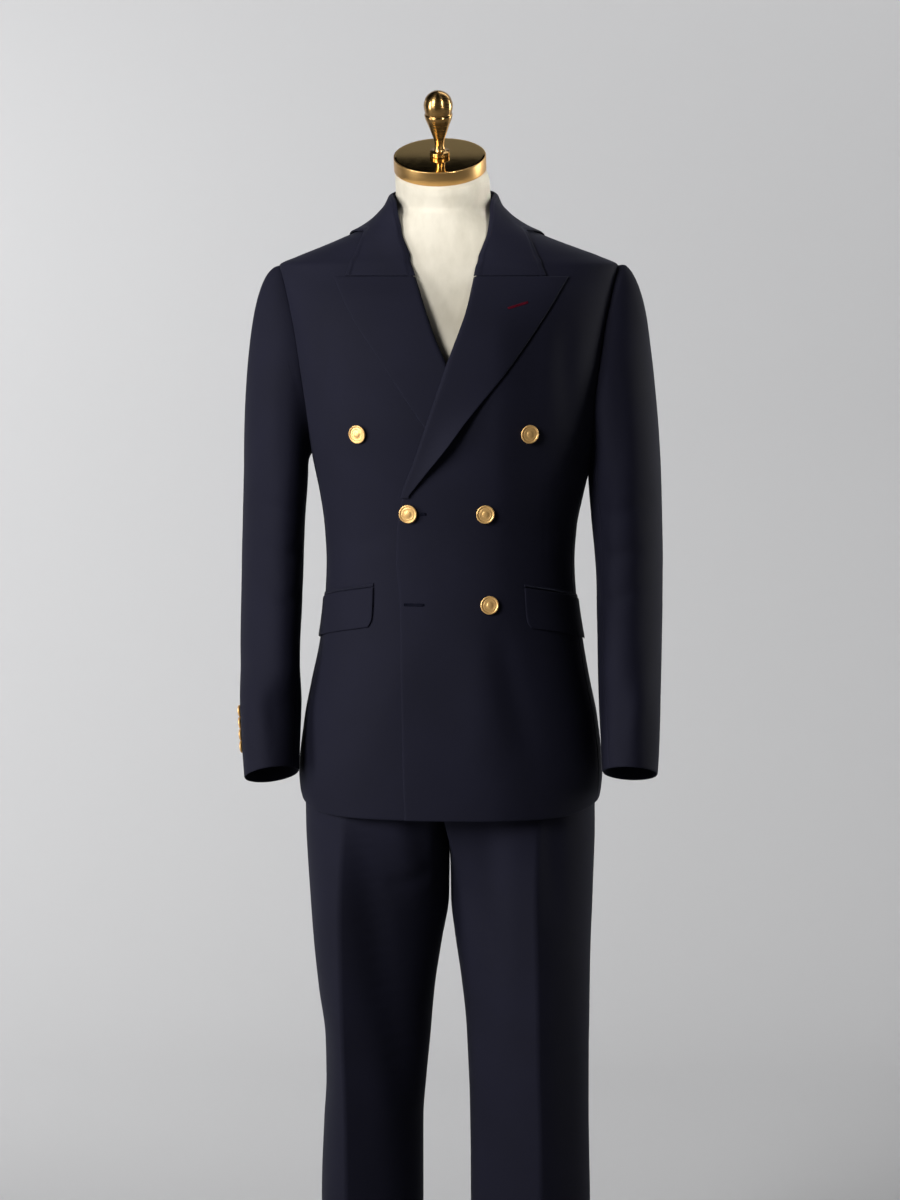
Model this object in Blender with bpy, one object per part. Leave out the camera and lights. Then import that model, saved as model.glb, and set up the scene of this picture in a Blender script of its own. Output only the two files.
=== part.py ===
"""Two-piece suit on a tailor's dress form: double-breasted jacket with peak lapels, and trousers.

Metres, +Z up, the floor at z = 0.  The wearer faces -Y, so the wearer's left is at +X.
Every cloth piece is a wall: a grid of points on a surface, and the same grid moved in by its thickness.
"""
import math

import bpy
import numpy as np

# ---------------------------------------------------------------- driving dimensions
JACKET_CLOTH = 0.0018
TROUSER_CLOTH = 0.0014
SEAM = 0.0003
LAY = 0.0008                 # air between one layer of cloth and the next

HEM = 0.793                  # jacket hem at the side seams
HEM_DROP = 0.0125            # the fronts hang this much lower
SHOULDER_TIP = 1.451
GORGE = 1.4372               # seam between lapel and collar
NECK_SEAM = 1.512            # top of the fronts and backs, where the collar stand is sewn on
SIDE_JOIN = 1.2526           # where the side seams run into the armhole
STAND_START = 62.0           # degrees round the neck where the collar stand begins
SHOULDER_SEAM = 90.0         # degrees round the body from the centre front

ARMHOLE_MIDDLE = 1.3365
ARMHOLE_HALF = 0.1145
ARMHOLE_FRONT = 17.6         # degrees in front of the shoulder seam at mid height
ARMHOLE_BACK = 22.0
SIDE_SEAM_FRONT = 78.0
SIDE_SEAM_BACK = 105.0
SLEEVE_TOP_RING = 1.200      # height of the first whole ring of the sleeve
ARMHOLE_LIFT = 0.0009        # the sleeve's edge lies this far out from the body's face
# Reach of the sleeve head's curve above the ring and beside the armhole, left and right.
SLEEVE_RISE = {1: 0.47, -1: 0.53}
SLEEVE_LEAVE = {1: 0.122, -1: 0.136}
SLEEVE_DROOP = 0.75          # how much the underarm's curve leaves the armhole downward
# Degrees round the sleeve from its outer side, the front being +90; the left arm is turned out more.
HINDARM_SEAM = {1: -50.0, -1: -22.0}
FOREARM_SEAM = {1: 136.0, -1: 150.0}
CUFF = {1: 0.8310, -1: 0.8260}           # left and right sleeve
CUFF_OUTER_DROP = {1: 0.001, -1: 0.006}
CUFF_FRONT_RISE = 0.0145
CUFF_SWAY = 0.0045           # both forearms hang this much to the left at the cuff

OVERLAP_ROLL = (1.12, 1.19)  # the left front rises over the right lapel's fold between these heights
OVERLAP_MORE = 1.3           # by this many layers more
OVERLAP_TOP = (1.350, 1.42)  # above these the fronts no longer overlap
OVERLAP_SIDE = (0.060, 0.115)            # it sinks back to the body between these x

LAPEL_AIR = 0.0013
LAPEL_NOSE = 0.0026          # width of the roll in front of the edge it turns over
LAPEL_TUCK = 0.0029          # how far the cloth turns in at the roll, and over what width
LAPEL_TUCK_WIDTH = 0.0016
LAPEL_BOW = 0.010            # the left lapel's outer edge stands off the chest near its foot
LAPEL_BOW_UP = 0.064
LAPEL_BOW_LENGTH = 0.040
BUTTON = 0.0225
CUFF_BUTTON = 0.015
CUFF_BUTTON_UP = 0.0393      # lowest one above the cuff, and the step from each to the next
CUFF_BUTTON_STEP = 0.0140
CUFF_BUTTON_TURN = {1: math.radians(38), -1: math.radians(8)}     # behind the sleeve's outer side
FLAP_HEIGHT = 0.049
FLAP_CLOTH = 0.0016
FLAP_AIR = 0.0011
FLAP_INNER_X = {1: 0.0963, -1: 0.0854}
FLAP_END = 98.0
FLAP_TOP = 1.062
FLAP_SLANT = 0.024

WAIST_TOP = 1.050
WAISTBAND = 0.038
TROUSER_HEM = 0.032
CROTCH = 0.785
RISE_BASE = 0.845            # below it the front and back seams curve in to the crotch
RISE_U = 0.10                # share of the section that lies along the centre plane
CROTCH_LEAN = -0.010
CREASE_U = 0.28
CREASE_RIDGE = 0.0035

HIPS_POWER = 2.15            # exponent of the seat's superellipse
LEG_PARTS = (0.640, 0.860)   # between these heights the seat turns into two legs

FORM_BOTTOM = 0.852
NECK_FOOT = 1.508            # height at which the neck grows out of the shoulders
NECK_Y = -0.022
NECK_LEAN = 0.4              # share of that lean already reached at the foot
PLATE_TILT = 24.0            # degrees that the neck plate leans forward
PLATE_MIDDLE = 1.5850        # height of the middle of the plate's top face
PLATE_X = -0.0110
PLATE_THICK = 0.018
PLATE_RADIUS = 0.0566
POLE_X = -0.098
POLE = 0.025
BASE = 0.400
BASE_THICK = 0.012

# ---------------------------------------------------------------- tables, a row for each section
# Jacket body, a level section at each height: half-width, how far its middle lies to the side,
# depth in front of and behind the shoulder line, and the exponent of the superellipse.
BODY = dict(
    height=(0.770, 0.792, 0.805, 0.825, 0.890, 0.940, 0.985, 1.045, 1.088, 1.130, 1.170, 1.210, 1.260,
            1.320, 1.370, 1.410, 1.438, 1.451, 1.4625, 1.473, 1.484, 1.498, 1.511, 1.525, 1.540, 1.570),
    half=(0.1795, 0.1842, 0.1870, 0.1885, 0.1822, 0.1725, 0.1637, 0.1555, 0.1535, 0.1560, 0.1627, 0.1715,
          0.180, 0.190, 0.197, 0.203, 0.207, 0.2085, 0.1855, 0.158, 0.130, 0.0975, 0.0785, 0.0665,
          0.0620, 0.0610),
    middle=(0.0015, 0.0012, 0.001, 0.001, 0.0012, 0.001, 0.0018, 0.001, 0.0007, 0.001, 0.0023, 0.003, 0.003,
            0.002, 0.001, 0, -0.001, -0.002, -0.002, -0.003, -0.0045, -0.006, -0.007, -0.0075,
            -0.0075, -0.0075),
    front=(0.131, 0.131, 0.131, 0.131, 0.129, 0.126, 0.123, 0.119, 0.118, 0.119, 0.122, 0.126, 0.131,
           0.131, 0.123, 0.109, 0.093, 0.086, 0.0815, 0.079, 0.0775, 0.077, 0.079, 0.083, 0.085, 0.085),
    back=(0.138, 0.138, 0.138, 0.138, 0.136, 0.130, 0.122, 0.110, 0.104, 0.104, 0.107, 0.112, 0.117,
          0.121, 0.120, 0.115, 0.107, 0.102, 0.096, 0.090, 0.083, 0.075, 0.066, 0.058, 0.053, 0.050),
    power=(2.35, 2.35, 2.35, 2.35, 2.3, 2.3, 2.25, 2.2, 2.2, 2.2, 2.25, 2.3, 2.35,
           2.35, 2.3, 2.2, 2.1, 2.08, 2.08, 2.12, 2.15, 2.2, 2.3, 2.4, 2.4, 2.4),
)
# Edge of each front in the front view, up to the break of its lapel, then along its roll line to
# the gorge, above which the collar's roll goes on.
RIGHT_EDGE = dict(
    height=(0.770, 1.150, 1.215, 1.280, 1.334, 1.362, 1.4372),
    x=(0.052, 0.050, 0.035, 0.019, 0.002, -0.0105, -0.0378),
)
LEFT_EDGE = dict(
    height=(0.770, 0.977, 1.044, 1.099, 1.140, 1.172, 1.218, 1.265, 1.334, 1.354, 1.397, 1.4372),
    x=(-0.046, -0.051, -0.0525, -0.057, -0.0545, -0.048, -0.031, -0.015, 0.0085, 0.0160, 0.0300, 0.0378),
)
# Outer edge of each lapel, from its foot up to the peak.
RIGHT_LAPEL = dict(
    height=(1.212, 1.226, 1.246, 1.276, 1.336, 1.390, 1.437),
    x=(0.030, 0.008, -0.013, -0.035, -0.075, -0.112, -0.136),
)
LEFT_LAPEL = dict(
    height=(1.172, 1.219, 1.272, 1.333, 1.393, 1.437),
    x=(-0.042, -0.006, 0.035, 0.083, 0.123, 0.148),
)
# Collar from the gorge to the centre back: where it rolls over, and its outer edge.  The left
# front stands a little further from the neck than the right one.
COLLAR = dict(
    station=(0.0, 0.06, 0.12, 0.18, 0.24, 0.31, 0.38, 0.46, 0.56, 0.70, 0.85, 1.0),
    right_roll=(9.4, 10.5, 12.4, 15.8, 21.1, 28.1, 36.2, 46.0, 57.5, 84.0, 131.0, 180.0),
    left_roll=(9.9, 10.9, 13.0, 17.2, 24.2, 34.0, 44.5, 55.8, 67.5, 91.0, 133.0, 180.0),
    roll_height=(1.4372, 1.4490, 1.4610, 1.4730, 1.4850, 1.4970, 1.5080, 1.5190, 1.5290, 1.5370, 1.5415,
                 1.5430),
    right_edge=(34.6, 33.5, 32.6, 33.5, 36.2, 39.7, 44.4, 50.3, 58.5, 88.0, 135.0, 180.0),
    left_edge=(35.2, 34.4, 33.6, 34.8, 37.3, 41.6, 47.6, 54.8, 63.5, 91.0, 136.0, 180.0),
    edge_height=(1.4374, 1.4440, 1.4510, 1.4580, 1.4650, 1.4725, 1.4800, 1.4865, 1.4910, 1.4895, 1.4790,
                 1.4720),
)
# Section of the collar across its width: from just inside the roll (0) to the outer edge (1), how
# far its upper face lies off the body.
COLLAR_SECTION = dict(
    share=(-0.045, 0.0, 0.07, 0.2, 0.4, 0.6, 0.8, 1.0),
    lie=(0.0010, 0.0033, 0.0044, 0.0046, 0.0044, 0.0042, 0.0038, 0.0034),
)
COLLAR_FULL = 0.0050         # more air under it beside the neck, where it bridges to the shoulder,
COLLAR_FULL_AT = 0.52        # round this station
COLLAR_FULL_REACH = 0.26
COLLAR_COLUMNS = 18          # sections of each half of the collar, front to back
# Sleeve, a level section at each height (mirrored for the other arm).
SLEEVE = dict(
    height=(0.780, 0.815, 0.857, 0.916, 0.985, 1.034, 1.087, 1.130, 1.200, 1.260),
    outer=(0.2515, 0.2535, 0.2568, 0.2600, 0.2625, 0.2630, 0.2630, 0.2622, 0.2600, 0.2570),
    inner=(0.1880, 0.1875, 0.1860, 0.1840, 0.1835, 0.1820, 0.1808, 0.1795, 0.1748, 0.1740),
    centre_y=(-0.068, -0.061, -0.050, -0.031, -0.012, 0.000, 0.009, 0.012, 0.010, 0.006),
    half_depth=(0.0480, 0.0490, 0.0510, 0.0540, 0.0580, 0.0600, 0.0620, 0.0640, 0.0660, 0.0670),
)
# Seat and hips of the trousers.
HIPS = dict(
    height=(0.640, 0.700, 0.760, 0.800, 0.860, 0.900, 0.950, 1.000, 1.050, 1.070),
    half=(0.172, 0.1770, 0.1800, 0.1800, 0.1765, 0.1700, 0.1590, 0.1460, 0.1400, 0.1395),
    front=(0.102, 0.106, 0.112, 0.115, 0.116, 0.113, 0.108, 0.103, 0.100, 0.100),
    back=(0.106, 0.112, 0.120, 0.126, 0.129, 0.128, 0.121, 0.108, 0.098, 0.096),
)
# Legs: how far the inner side, the front crease and the outer side lie from the centre plane.
RIGHT_LEG = dict(
    height=(0.020, 0.150, 0.280, 0.386, 0.438, 0.490, 0.553, 0.610, 0.669, 0.727, 0.790, 0.900),
    inner=(0.039, 0.035, 0.034, 0.0335, 0.0295, 0.0245, 0.0190, 0.0105, 0.0012, 0.0008, 0.0008, 0.0008),
    crease=(0.112, 0.118, 0.124, 0.124, 0.125, 0.127, 0.129, 0.130, 0.131, 0.132, 0.132, 0.128),
    outer=(0.151, 0.159, 0.162, 0.158, 0.155, 0.156, 0.164, 0.170, 0.1745, 0.178, 0.180, 0.170),
    half_depth=(0.077, 0.080, 0.083, 0.087, 0.089, 0.091, 0.094, 0.098, 0.102, 0.107, 0.112, 0.114),
    centre_y=(0.016, 0.012, 0.006, 0.000, -0.003, -0.003, -0.001, 0.001, 0.003, 0.004, 0.005, 0.006),
)
LEFT_LEG = dict(
    height=(0.020, 0.150, 0.281, 0.338, 0.414, 0.477, 0.513, 0.570, 0.620, 0.669, 0.765, 0.900),
    inner=(0.034, 0.029, 0.0262, 0.0260, 0.0250, 0.0225, 0.0205, 0.0140, 0.0065, 0.0012, 0.0008, 0.0008),
    crease=(0.104, 0.112, 0.118, 0.118, 0.117, 0.115, 0.115, 0.114, 0.113, 0.112, 0.110, 0.108),
    outer=(0.157, 0.168, 0.176, 0.175, 0.174, 0.174, 0.1745, 0.175, 0.176, 0.178, 0.181, 0.170),
    half_depth=(0.074, 0.078, 0.081, 0.083, 0.086, 0.088, 0.090, 0.094, 0.098, 0.102, 0.109, 0.114),
    centre_y=(0.014, 0.010, 0.004, 0.002, -0.001, -0.003, -0.003, -0.001, 0.001, 0.003, 0.005, 0.006),
)
# Air between the dress form and the cloth over it: jacket above the waist, trousers below.
FORM_IN_JACKET = dict(
    height=(1.050, 1.100, 1.250, 1.380, 1.430, 1.452, 1.490, 1.500, 1.520),
    inset=(0.012, 0.012, 0.014, 0.014, 0.009, 0.0029, 0.0029, 0.005, 0.009),
)
FORM_IN_TROUSERS = dict(
    height=(0.850, 0.900, 0.960, 1.005, 1.020, 1.050, 1.080),
    inset=(0.014, 0.014, 0.012, 0.0060, 0.0028, 0.0028, 0.0035),
)
# Neck of the form from its foot (0) to the plate (1).
NECK = dict(
    share=(0.12, 0.35, 0.75, 1.0),
    radius=(0.0625, 0.0568, 0.0567, 0.0550),
    middle=(-0.0075, -0.0075, -0.0082, -0.0098),
)
# Turned finial, from its foot on the neck plate to its top.
FINIAL = dict(
    along=(0.0003, 0.0058, 0.0070, 0.0150, 0.0200, 0.0290, 0.0395, 0.0500, 0.0530, 0.0546, 0.0566, 0.0650,
           0.0730, 0.0785, 0.0815, 0.0828),
    radius=(0.0122, 0.0122, 0.0070, 0.0058, 0.0064, 0.0094, 0.0131, 0.0168, 0.0172, 0.0158, 0.0166, 0.0178,
            0.0157, 0.0112, 0.0068, 0.0025),
)
# Gold buttons of the front: place in the front view, and which front carries them.
FRONT_BUTTONS = (
    dict(name="button_top_right", x=-0.103, z=1.248, over=False),
    dict(name="button_top_left", x=0.103, z=1.249, over=True),
    dict(name="button_waist_right", x=-0.041, z=1.153, over=True),
    dict(name="button_waist_left", x=0.050, z=1.153, over=True),
    dict(name="button_low_left", x=0.055, z=1.042, over=True),
)
COLOURS = dict(
    wool=((0.010, 0.011, 0.018), 0.85, 0.0),
    linen=((0.76, 0.69, 0.58), 0.85, 0.0),
    brass=((0.55, 0.33, 0.10), 0.25, 1.0),
    gold=((0.80, 0.52, 0.16), 0.25, 1.0),
    steel=((0.55, 0.55, 0.56), 0.35, 1.0),
    enamel=((0.03, 0.03, 0.032), 0.4, 0.0),
)


# ---------------------------------------------------------------- curves and surfaces
def smooth(table, name, at, key="height"):
    """Monotone cubic through one column of a table."""
    xs = np.array(table[key], float)
    ys = np.array(table[name], float)
    at = np.clip(np.asarray(at, float), xs[0], xs[-1])
    step = np.diff(xs)
    slope = np.diff(ys) / step
    tangent = np.zeros_like(ys)
    same = slope[:-1] * slope[1:] > 0
    before, after = slope[:-1][same], slope[1:][same]
    tangent[1:-1][same] = 2 * before * after / (before + after)
    tangent[0], tangent[-1] = slope[0], slope[-1]
    i = np.clip(np.searchsorted(xs, at) - 1, 0, len(step) - 1)
    t = (at - xs[i]) / step[i]
    return ((1 + 2 * t) * (1 - t) ** 2 * ys[i] + t * (1 - t) ** 2 * step[i] * tangent[i]
            + t * t * (3 - 2 * t) * ys[i + 1] + t * t * (t - 1) * step[i] * tangent[i + 1])


def ease(value, start, end):
    """0 before start, 1 after end, smooth between."""
    t = np.clip((np.asarray(value, float) - start) / (end - start), 0, 1)
    return t * t * (3 - 2 * t)


def superellipse(angle, half, front, back, power):
    """x and y of a level section; the angle runs from the centre front to the +X side."""
    sine, cosine = np.sin(angle), np.cos(angle)
    depth = np.where(cosine > 0, front, back)
    x = half * np.sign(sine) * np.abs(sine) ** (2 / power)
    y = -depth * np.sign(cosine) * np.abs(cosine) ** (2 / power)
    return x, y


def body(angle, z):
    """Outer surface of the jacket's body."""
    x, y = superellipse(angle, smooth(BODY, "half", z), smooth(BODY, "front", z),
                        smooth(BODY, "back", z), smooth(BODY, "power", z))
    return np.stack([x + smooth(BODY, "middle", z), y, z + 0 * angle], -1)


def hips(angle, z):
    """Outer surface of the trousers' seat, before it parts into legs."""
    x, y = superellipse(angle, smooth(HIPS, "half", z), smooth(HIPS, "front", z),
                        smooth(HIPS, "back", z), HIPS_POWER)
    return np.stack([x, y, z + 0 * angle], -1)


def raised(surface, u, v, height):
    """A surface's point moved out along its normal."""
    u, v, height = np.broadcast_arrays(np.asarray(u, float), np.asarray(v, float), height)
    tiny = 1e-4
    along_u = surface(u + tiny, v) - surface(u - tiny, v)
    along_v = surface(u, v + tiny) - surface(u, v - tiny)
    normal = np.cross(along_u, along_v)
    normal /= np.maximum(np.linalg.norm(normal, axis=-1, keepdims=True), 1e-12)
    return surface(u, v) + normal * height[..., None]


def angle_at(x, z):
    """Angle round the body of a point of its front, seen at x."""
    x = x - smooth(BODY, "middle", z)
    share = np.clip(np.abs(x) / smooth(BODY, "half", z), 0, 1)
    return np.sign(x) * np.arcsin(share ** (smooth(BODY, "power", z) / 2))


# ---------------------------------------------------------------- solids
def material(name):
    made = bpy.data.materials.get(name)
    if made is None:
        colour, roughness, metallic = COLOURS[name]
        made = bpy.data.materials.new(name)
        made.use_nodes = True
        shader = made.node_tree.nodes["Principled BSDF"]
        shader.inputs["Base Color"].default_value = (*colour, 1)
        shader.inputs["Roughness"].default_value = roughness
        shader.inputs["Metallic"].default_value = metallic
    return made


def solid(name, points, faces, finish):
    """A closed mesh from its points and faces, turned to face out."""
    points = np.asarray(points, float)
    volume = 0.0
    for face in faces:
        for b, c in zip(face[1:-1], face[2:]):
            volume += np.dot(points[face[0]], np.cross(points[b], points[c]))
    if volume < 0:
        faces = [tuple(reversed(face)) for face in faces]
    mesh = bpy.data.meshes.new(name)
    mesh.from_pydata([tuple(p) for p in points], [], faces)
    mesh.materials.append(material(finish))
    mesh.shade_smooth()
    mesh.set_sharp_from_angle(angle=math.radians(40))
    made = bpy.data.objects.new(name, mesh)
    bpy.context.collection.objects.link(made)
    return made


def wall(name, outer, inner, finish="wool", ring=False):
    """A sheet of cloth: two grids of points and the rim that joins them."""
    rows, columns = outer.shape[:2]
    points = np.concatenate([outer.reshape(-1, 3), inner.reshape(-1, 3)])
    under = rows * columns

    def at(i, j):
        return i * columns + j % columns

    faces = []
    spans = columns if ring else columns - 1
    for i in range(rows - 1):
        for j in range(spans):
            quad = (at(i, j), at(i, j + 1), at(i + 1, j + 1), at(i + 1, j))
            faces.append(quad)
            faces.append(tuple(under + k for k in reversed(quad)))
    for j in range(spans):
        for i, turn in ((0, 1), (rows - 1, -1)):
            edge = (at(i, j), at(i, j + 1))[::turn]
            faces.append((edge[1], edge[0], under + edge[0], under + edge[1]))
    if not ring:
        for i in range(rows - 1):
            for j, turn in ((0, -1), (columns - 1, 1)):
                edge = (at(i, j), at(i + 1, j))[::turn]
                faces.append((edge[1], edge[0], under + edge[0], under + edge[1]))
    return solid(name, points, faces, finish)


def turned(name, profile, sides, place, axis, finish):
    """A solid of revolution: rows of radius and height along an axis from a place."""
    axis = np.asarray(axis, float) / np.linalg.norm(axis)
    across = np.cross(axis, (0, 0, 1) if abs(axis[2]) < 0.9 else (0, 1, 0))
    across /= np.linalg.norm(across)
    third = np.cross(axis, across)
    turn = np.arange(sides) * math.tau / sides
    spoke = np.cos(turn)[:, None] * across + np.sin(turn)[:, None] * third
    rings = [np.asarray(place) + axis * height + spoke * radius for radius, height in profile]
    faces = []
    for i in range(len(profile) - 1):
        for j in range(sides):
            k = (j + 1) % sides
            faces.append((i * sides + j, i * sides + k, (i + 1) * sides + k, (i + 1) * sides + j))
    faces.append(tuple(reversed(range(sides))))
    faces.append(tuple((len(profile) - 1) * sides + j for j in range(sides)))
    return solid(name, np.concatenate(rings), faces, finish)


# ---------------------------------------------------------------- jacket body
def over(x, z):
    """How far the left front stands off the body where it lies over the right one."""
    layers = JACKET_CLOTH + LAY
    both = layers * (1 + OVERLAP_MORE * ease(z, *OVERLAP_ROLL))
    both = both * (1 - ease(z, *OVERLAP_TOP))
    return both * (1 - ease(x, *OVERLAP_SIDE))


def hem_height(angle, z):
    """Rows near the hem sink towards the centre front."""
    near = 1 - ease(z, HEM, 0.90)
    return z - HEM_DROP * near * ease(np.cos(angle), 0.0, 0.8)


def armhole_angle(z, reach):
    """Degrees from the shoulder seam to the armhole's edge at a height."""
    rise = np.clip((z - ARMHOLE_MIDDLE) / ARMHOLE_HALF, -1, 1)
    return reach * np.sqrt(1 - rise ** 2)


def body_rows(lower=11, armhole=7, shoulder=8):
    """Heights of the rows that fronts and backs share, closer together at the shoulder."""
    low = np.linspace(HEM, SIDE_JOIN, lower)
    middle = np.linspace(SIDE_JOIN, SHOULDER_TIP, armhole + 1)[1:]
    top = np.linspace(SHOULDER_TIP, NECK_SEAM, shoulder + 1)[1:]
    return np.concatenate([low, middle, top])


def outer_limit(z, reach, side_seam, sign):
    """Angle of the side seam, armhole or shoulder seam at a height, in degrees."""
    arm = SHOULDER_SEAM + sign * armhole_angle(z, reach)
    limit = np.where(z <= SIDE_JOIN + 1e-9, side_seam, np.where(z < SHOULDER_TIP, arm, SHOULDER_SEAM))
    seam = np.degrees(SEAM / 2 / smooth(BODY, "half", z)) * 1.6
    return limit + sign * seam


def edge_angle(edge, side, z):
    """Angle of a front's edge: its own table below the gorge, the collar's roll above it."""
    below = angle_at(smooth(edge, "x", z), z)
    roll = "left_roll" if side > 0 else "right_roll"
    above = side * np.radians(smooth(COLLAR, roll, z, key="roll_height"))
    return np.where(z < GORGE, below, above)


def front(name, side, edge, height, columns):
    z = body_rows()[:, None]
    start = edge_angle(edge, side, z)
    end = side * np.radians(outer_limit(z, ARMHOLE_FRONT, SIDE_SEAM_FRONT, -1))
    share = np.linspace(0, 1, columns)[None, :]
    angle = start + (end - start) * share
    level = hem_height(angle, z + 0 * angle)
    lift = height(body(angle, level)[..., 0], level)
    wall(name, raised(body, angle, level, lift), raised(body, angle, level, lift - JACKET_CLOTH))


def side_panel(name, side, columns=5, rows=11):
    reach = np.linspace(SIDE_SEAM_FRONT, SIDE_SEAM_BACK, columns)
    gap = np.degrees(SEAM / 2 / 0.17) * 1.6
    reach[0] += gap
    reach[-1] -= gap
    across = np.where(reach < SHOULDER_SEAM, (SHOULDER_SEAM - reach) / ARMHOLE_FRONT,
                      (reach - SHOULDER_SEAM) / ARMHOLE_BACK)
    top = ARMHOLE_MIDDLE - ARMHOLE_HALF * np.sqrt(1 - across ** 2)
    top[[0, -1]] = SIDE_JOIN
    share = np.linspace(0, 1, rows)[:, None]
    angle = side * np.radians(reach)[None, :] + 0 * share
    z = HEM + share * (top[None, :] - HEM)
    z = hem_height(angle, z)
    wall(name, raised(body, angle, z, 0.0), raised(body, angle, z, -JACKET_CLOTH))


def back(name, side, columns=9):
    z = body_rows()[:, None]
    start = side * np.radians(outer_limit(z, ARMHOLE_BACK, SIDE_SEAM_BACK, 1))
    end = side * (math.pi - SEAM / 2 / smooth(BODY, "back", z))
    share = np.linspace(0, 1, columns)[None, :]
    angle = start + (end - start) * share
    level = hem_height(angle, z + 0 * angle)
    wall(name, raised(body, angle, level, 0.0), raised(body, angle, level, -JACKET_CLOTH))


def lapel(name, side, edge, outline, base, lift_at_foot, rows=13):
    """The turned-back front above its break, rolled over the edge and laid on the chest."""
    foot, peak = outline["height"][0], outline["height"][-1]
    z = np.linspace(foot, peak - 0.0008, rows)[:, None]
    roll = side * smooth(edge, "x", z)
    reach = side * smooth(outline, "x", z)
    nose = LAPEL_NOSE
    width = np.maximum(reach - roll, 0.008)
    inward = np.array([-1.0, 0.0, 1.6])[None, :] * nose + 0 * z
    share = np.linspace(0, 1, 6)[None, 1:]
    x = np.concatenate([roll + inward, roll + 1.6 * nose + (width - 1.6 * nose) * share], 1)
    gap = (x - roll) + nose
    lie = LAPEL_AIR + JACKET_CLOTH - LAPEL_TUCK * np.exp(-gap / LAPEL_TUCK_WIDTH)
    bow = np.exp(-((z - foot - LAPEL_BOW_UP) / LAPEL_BOW_LENGTH) ** 2)
    off = lift_at_foot * ((x - roll) / width) ** 2 * bow
    level = z + 0 * x
    lift = base(side * x, level) + lie + off
    angle = angle_at(side * x, level)
    wall(name, raised(body, angle, level, lift), raised(body, angle, level, lift - JACKET_CLOTH))


def collar_grid(columns, share):
    """Angles and heights from where the collar rolls over (0) to its outer edge (1)."""
    p = np.linspace(0, 1, columns)
    right, left, top, low, right_edge, left_edge = (smooth(COLLAR, key, p, key="station") for key in (
        "right_roll", "left_roll", "roll_height", "edge_height", "right_edge", "left_edge"))

    def around(left_half, right_half):
        return np.concatenate([left_half, right_half[-2::-1]])[:, None]

    roll, edge = around(left, 360 - right), around(left_edge, 360 - right_edge)
    top, low = around(top, top), around(low, low)
    return np.radians(roll + (edge - roll) * share), top + (low - top) * share


def collar():
    share = np.array(COLLAR_SECTION["share"])[None, :]
    angle, z = collar_grid(COLLAR_COLUMNS, share)
    half = np.linspace(0, 1, COLLAR_COLUMNS)
    station = np.concatenate([half, half[-2::-1]])[:, None]
    near = np.clip((station - COLLAR_FULL_AT) / COLLAR_FULL_REACH, -1, 1)
    full = COLLAR_FULL * (0.5 + 0.5 * np.cos(math.pi * near)) * np.sin(math.pi * np.clip(share, 0, 1))
    lie = np.array(COLLAR_SECTION["lie"])[None, :] + full
    wall("collar", raised(body, angle, z, lie), raised(body, angle, z, lie - JACKET_CLOTH))


def collar_stand():
    """The upright band inside the collar, sewn to the neck seam."""
    degrees = np.linspace(STAND_START, 360 - STAND_START, 27)[:, None]
    share = np.linspace(0, 1, 3)[None, :]
    left = smooth(COLLAR, "roll_height", degrees, key="left_roll")
    right = smooth(COLLAR, "roll_height", 360 - degrees, key="right_roll")
    top = np.where(degrees < 180, left, right) - 0.001
    seam = NECK_SEAM + 2 * SEAM
    z = seam + (top - seam) * share
    wide = np.radians(degrees) + 0 * share
    wall("collar_stand", raised(body, wide, z, 0.0), raised(body, wide, z, -JACKET_CLOTH))


def flap(name, side, base):
    """Pocket flap, slanting down towards the side seam, its lower corners rounded."""
    start = abs(angle_at(side * FLAP_INNER_X[side], FLAP_TOP))
    angle = np.linspace(start, math.radians(FLAP_END), 9)[None, :]
    run = (angle - start) / (angle[0, -1] - start)
    share = np.array([0.0, 0.25, 0.5, 0.75, 0.92, 1.0])[:, None]
    inset = 0.05 * np.clip((share - 0.75) / 0.25, 0, 1) ** 2
    spread = 0.5 + (run - 0.5) * (1 - 1.2 * inset)
    wide = start + (angle[0, -1] - start) * spread
    z = FLAP_TOP - FLAP_SLANT * run - FLAP_HEIGHT * share
    wide = side * wide
    lift = base(body(wide, z)[..., 0], z) + FLAP_AIR + FLAP_CLOTH
    wall(name, raised(body, wide, z, lift), raised(body, wide, z, lift - FLAP_CLOTH))


# ---------------------------------------------------------------- sleeves
def sleeve_ring(angle, z):
    outer, inner = smooth(SLEEVE, "outer", z), smooth(SLEEVE, "inner", z)
    x = (outer + inner) / 2 + (outer - inner) / 2 * np.cos(angle)
    y = smooth(SLEEVE, "centre_y", z) - smooth(SLEEVE, "half_depth", z) * np.sin(angle)
    return np.stack([x, y, z + 0 * angle], -1)


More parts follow.
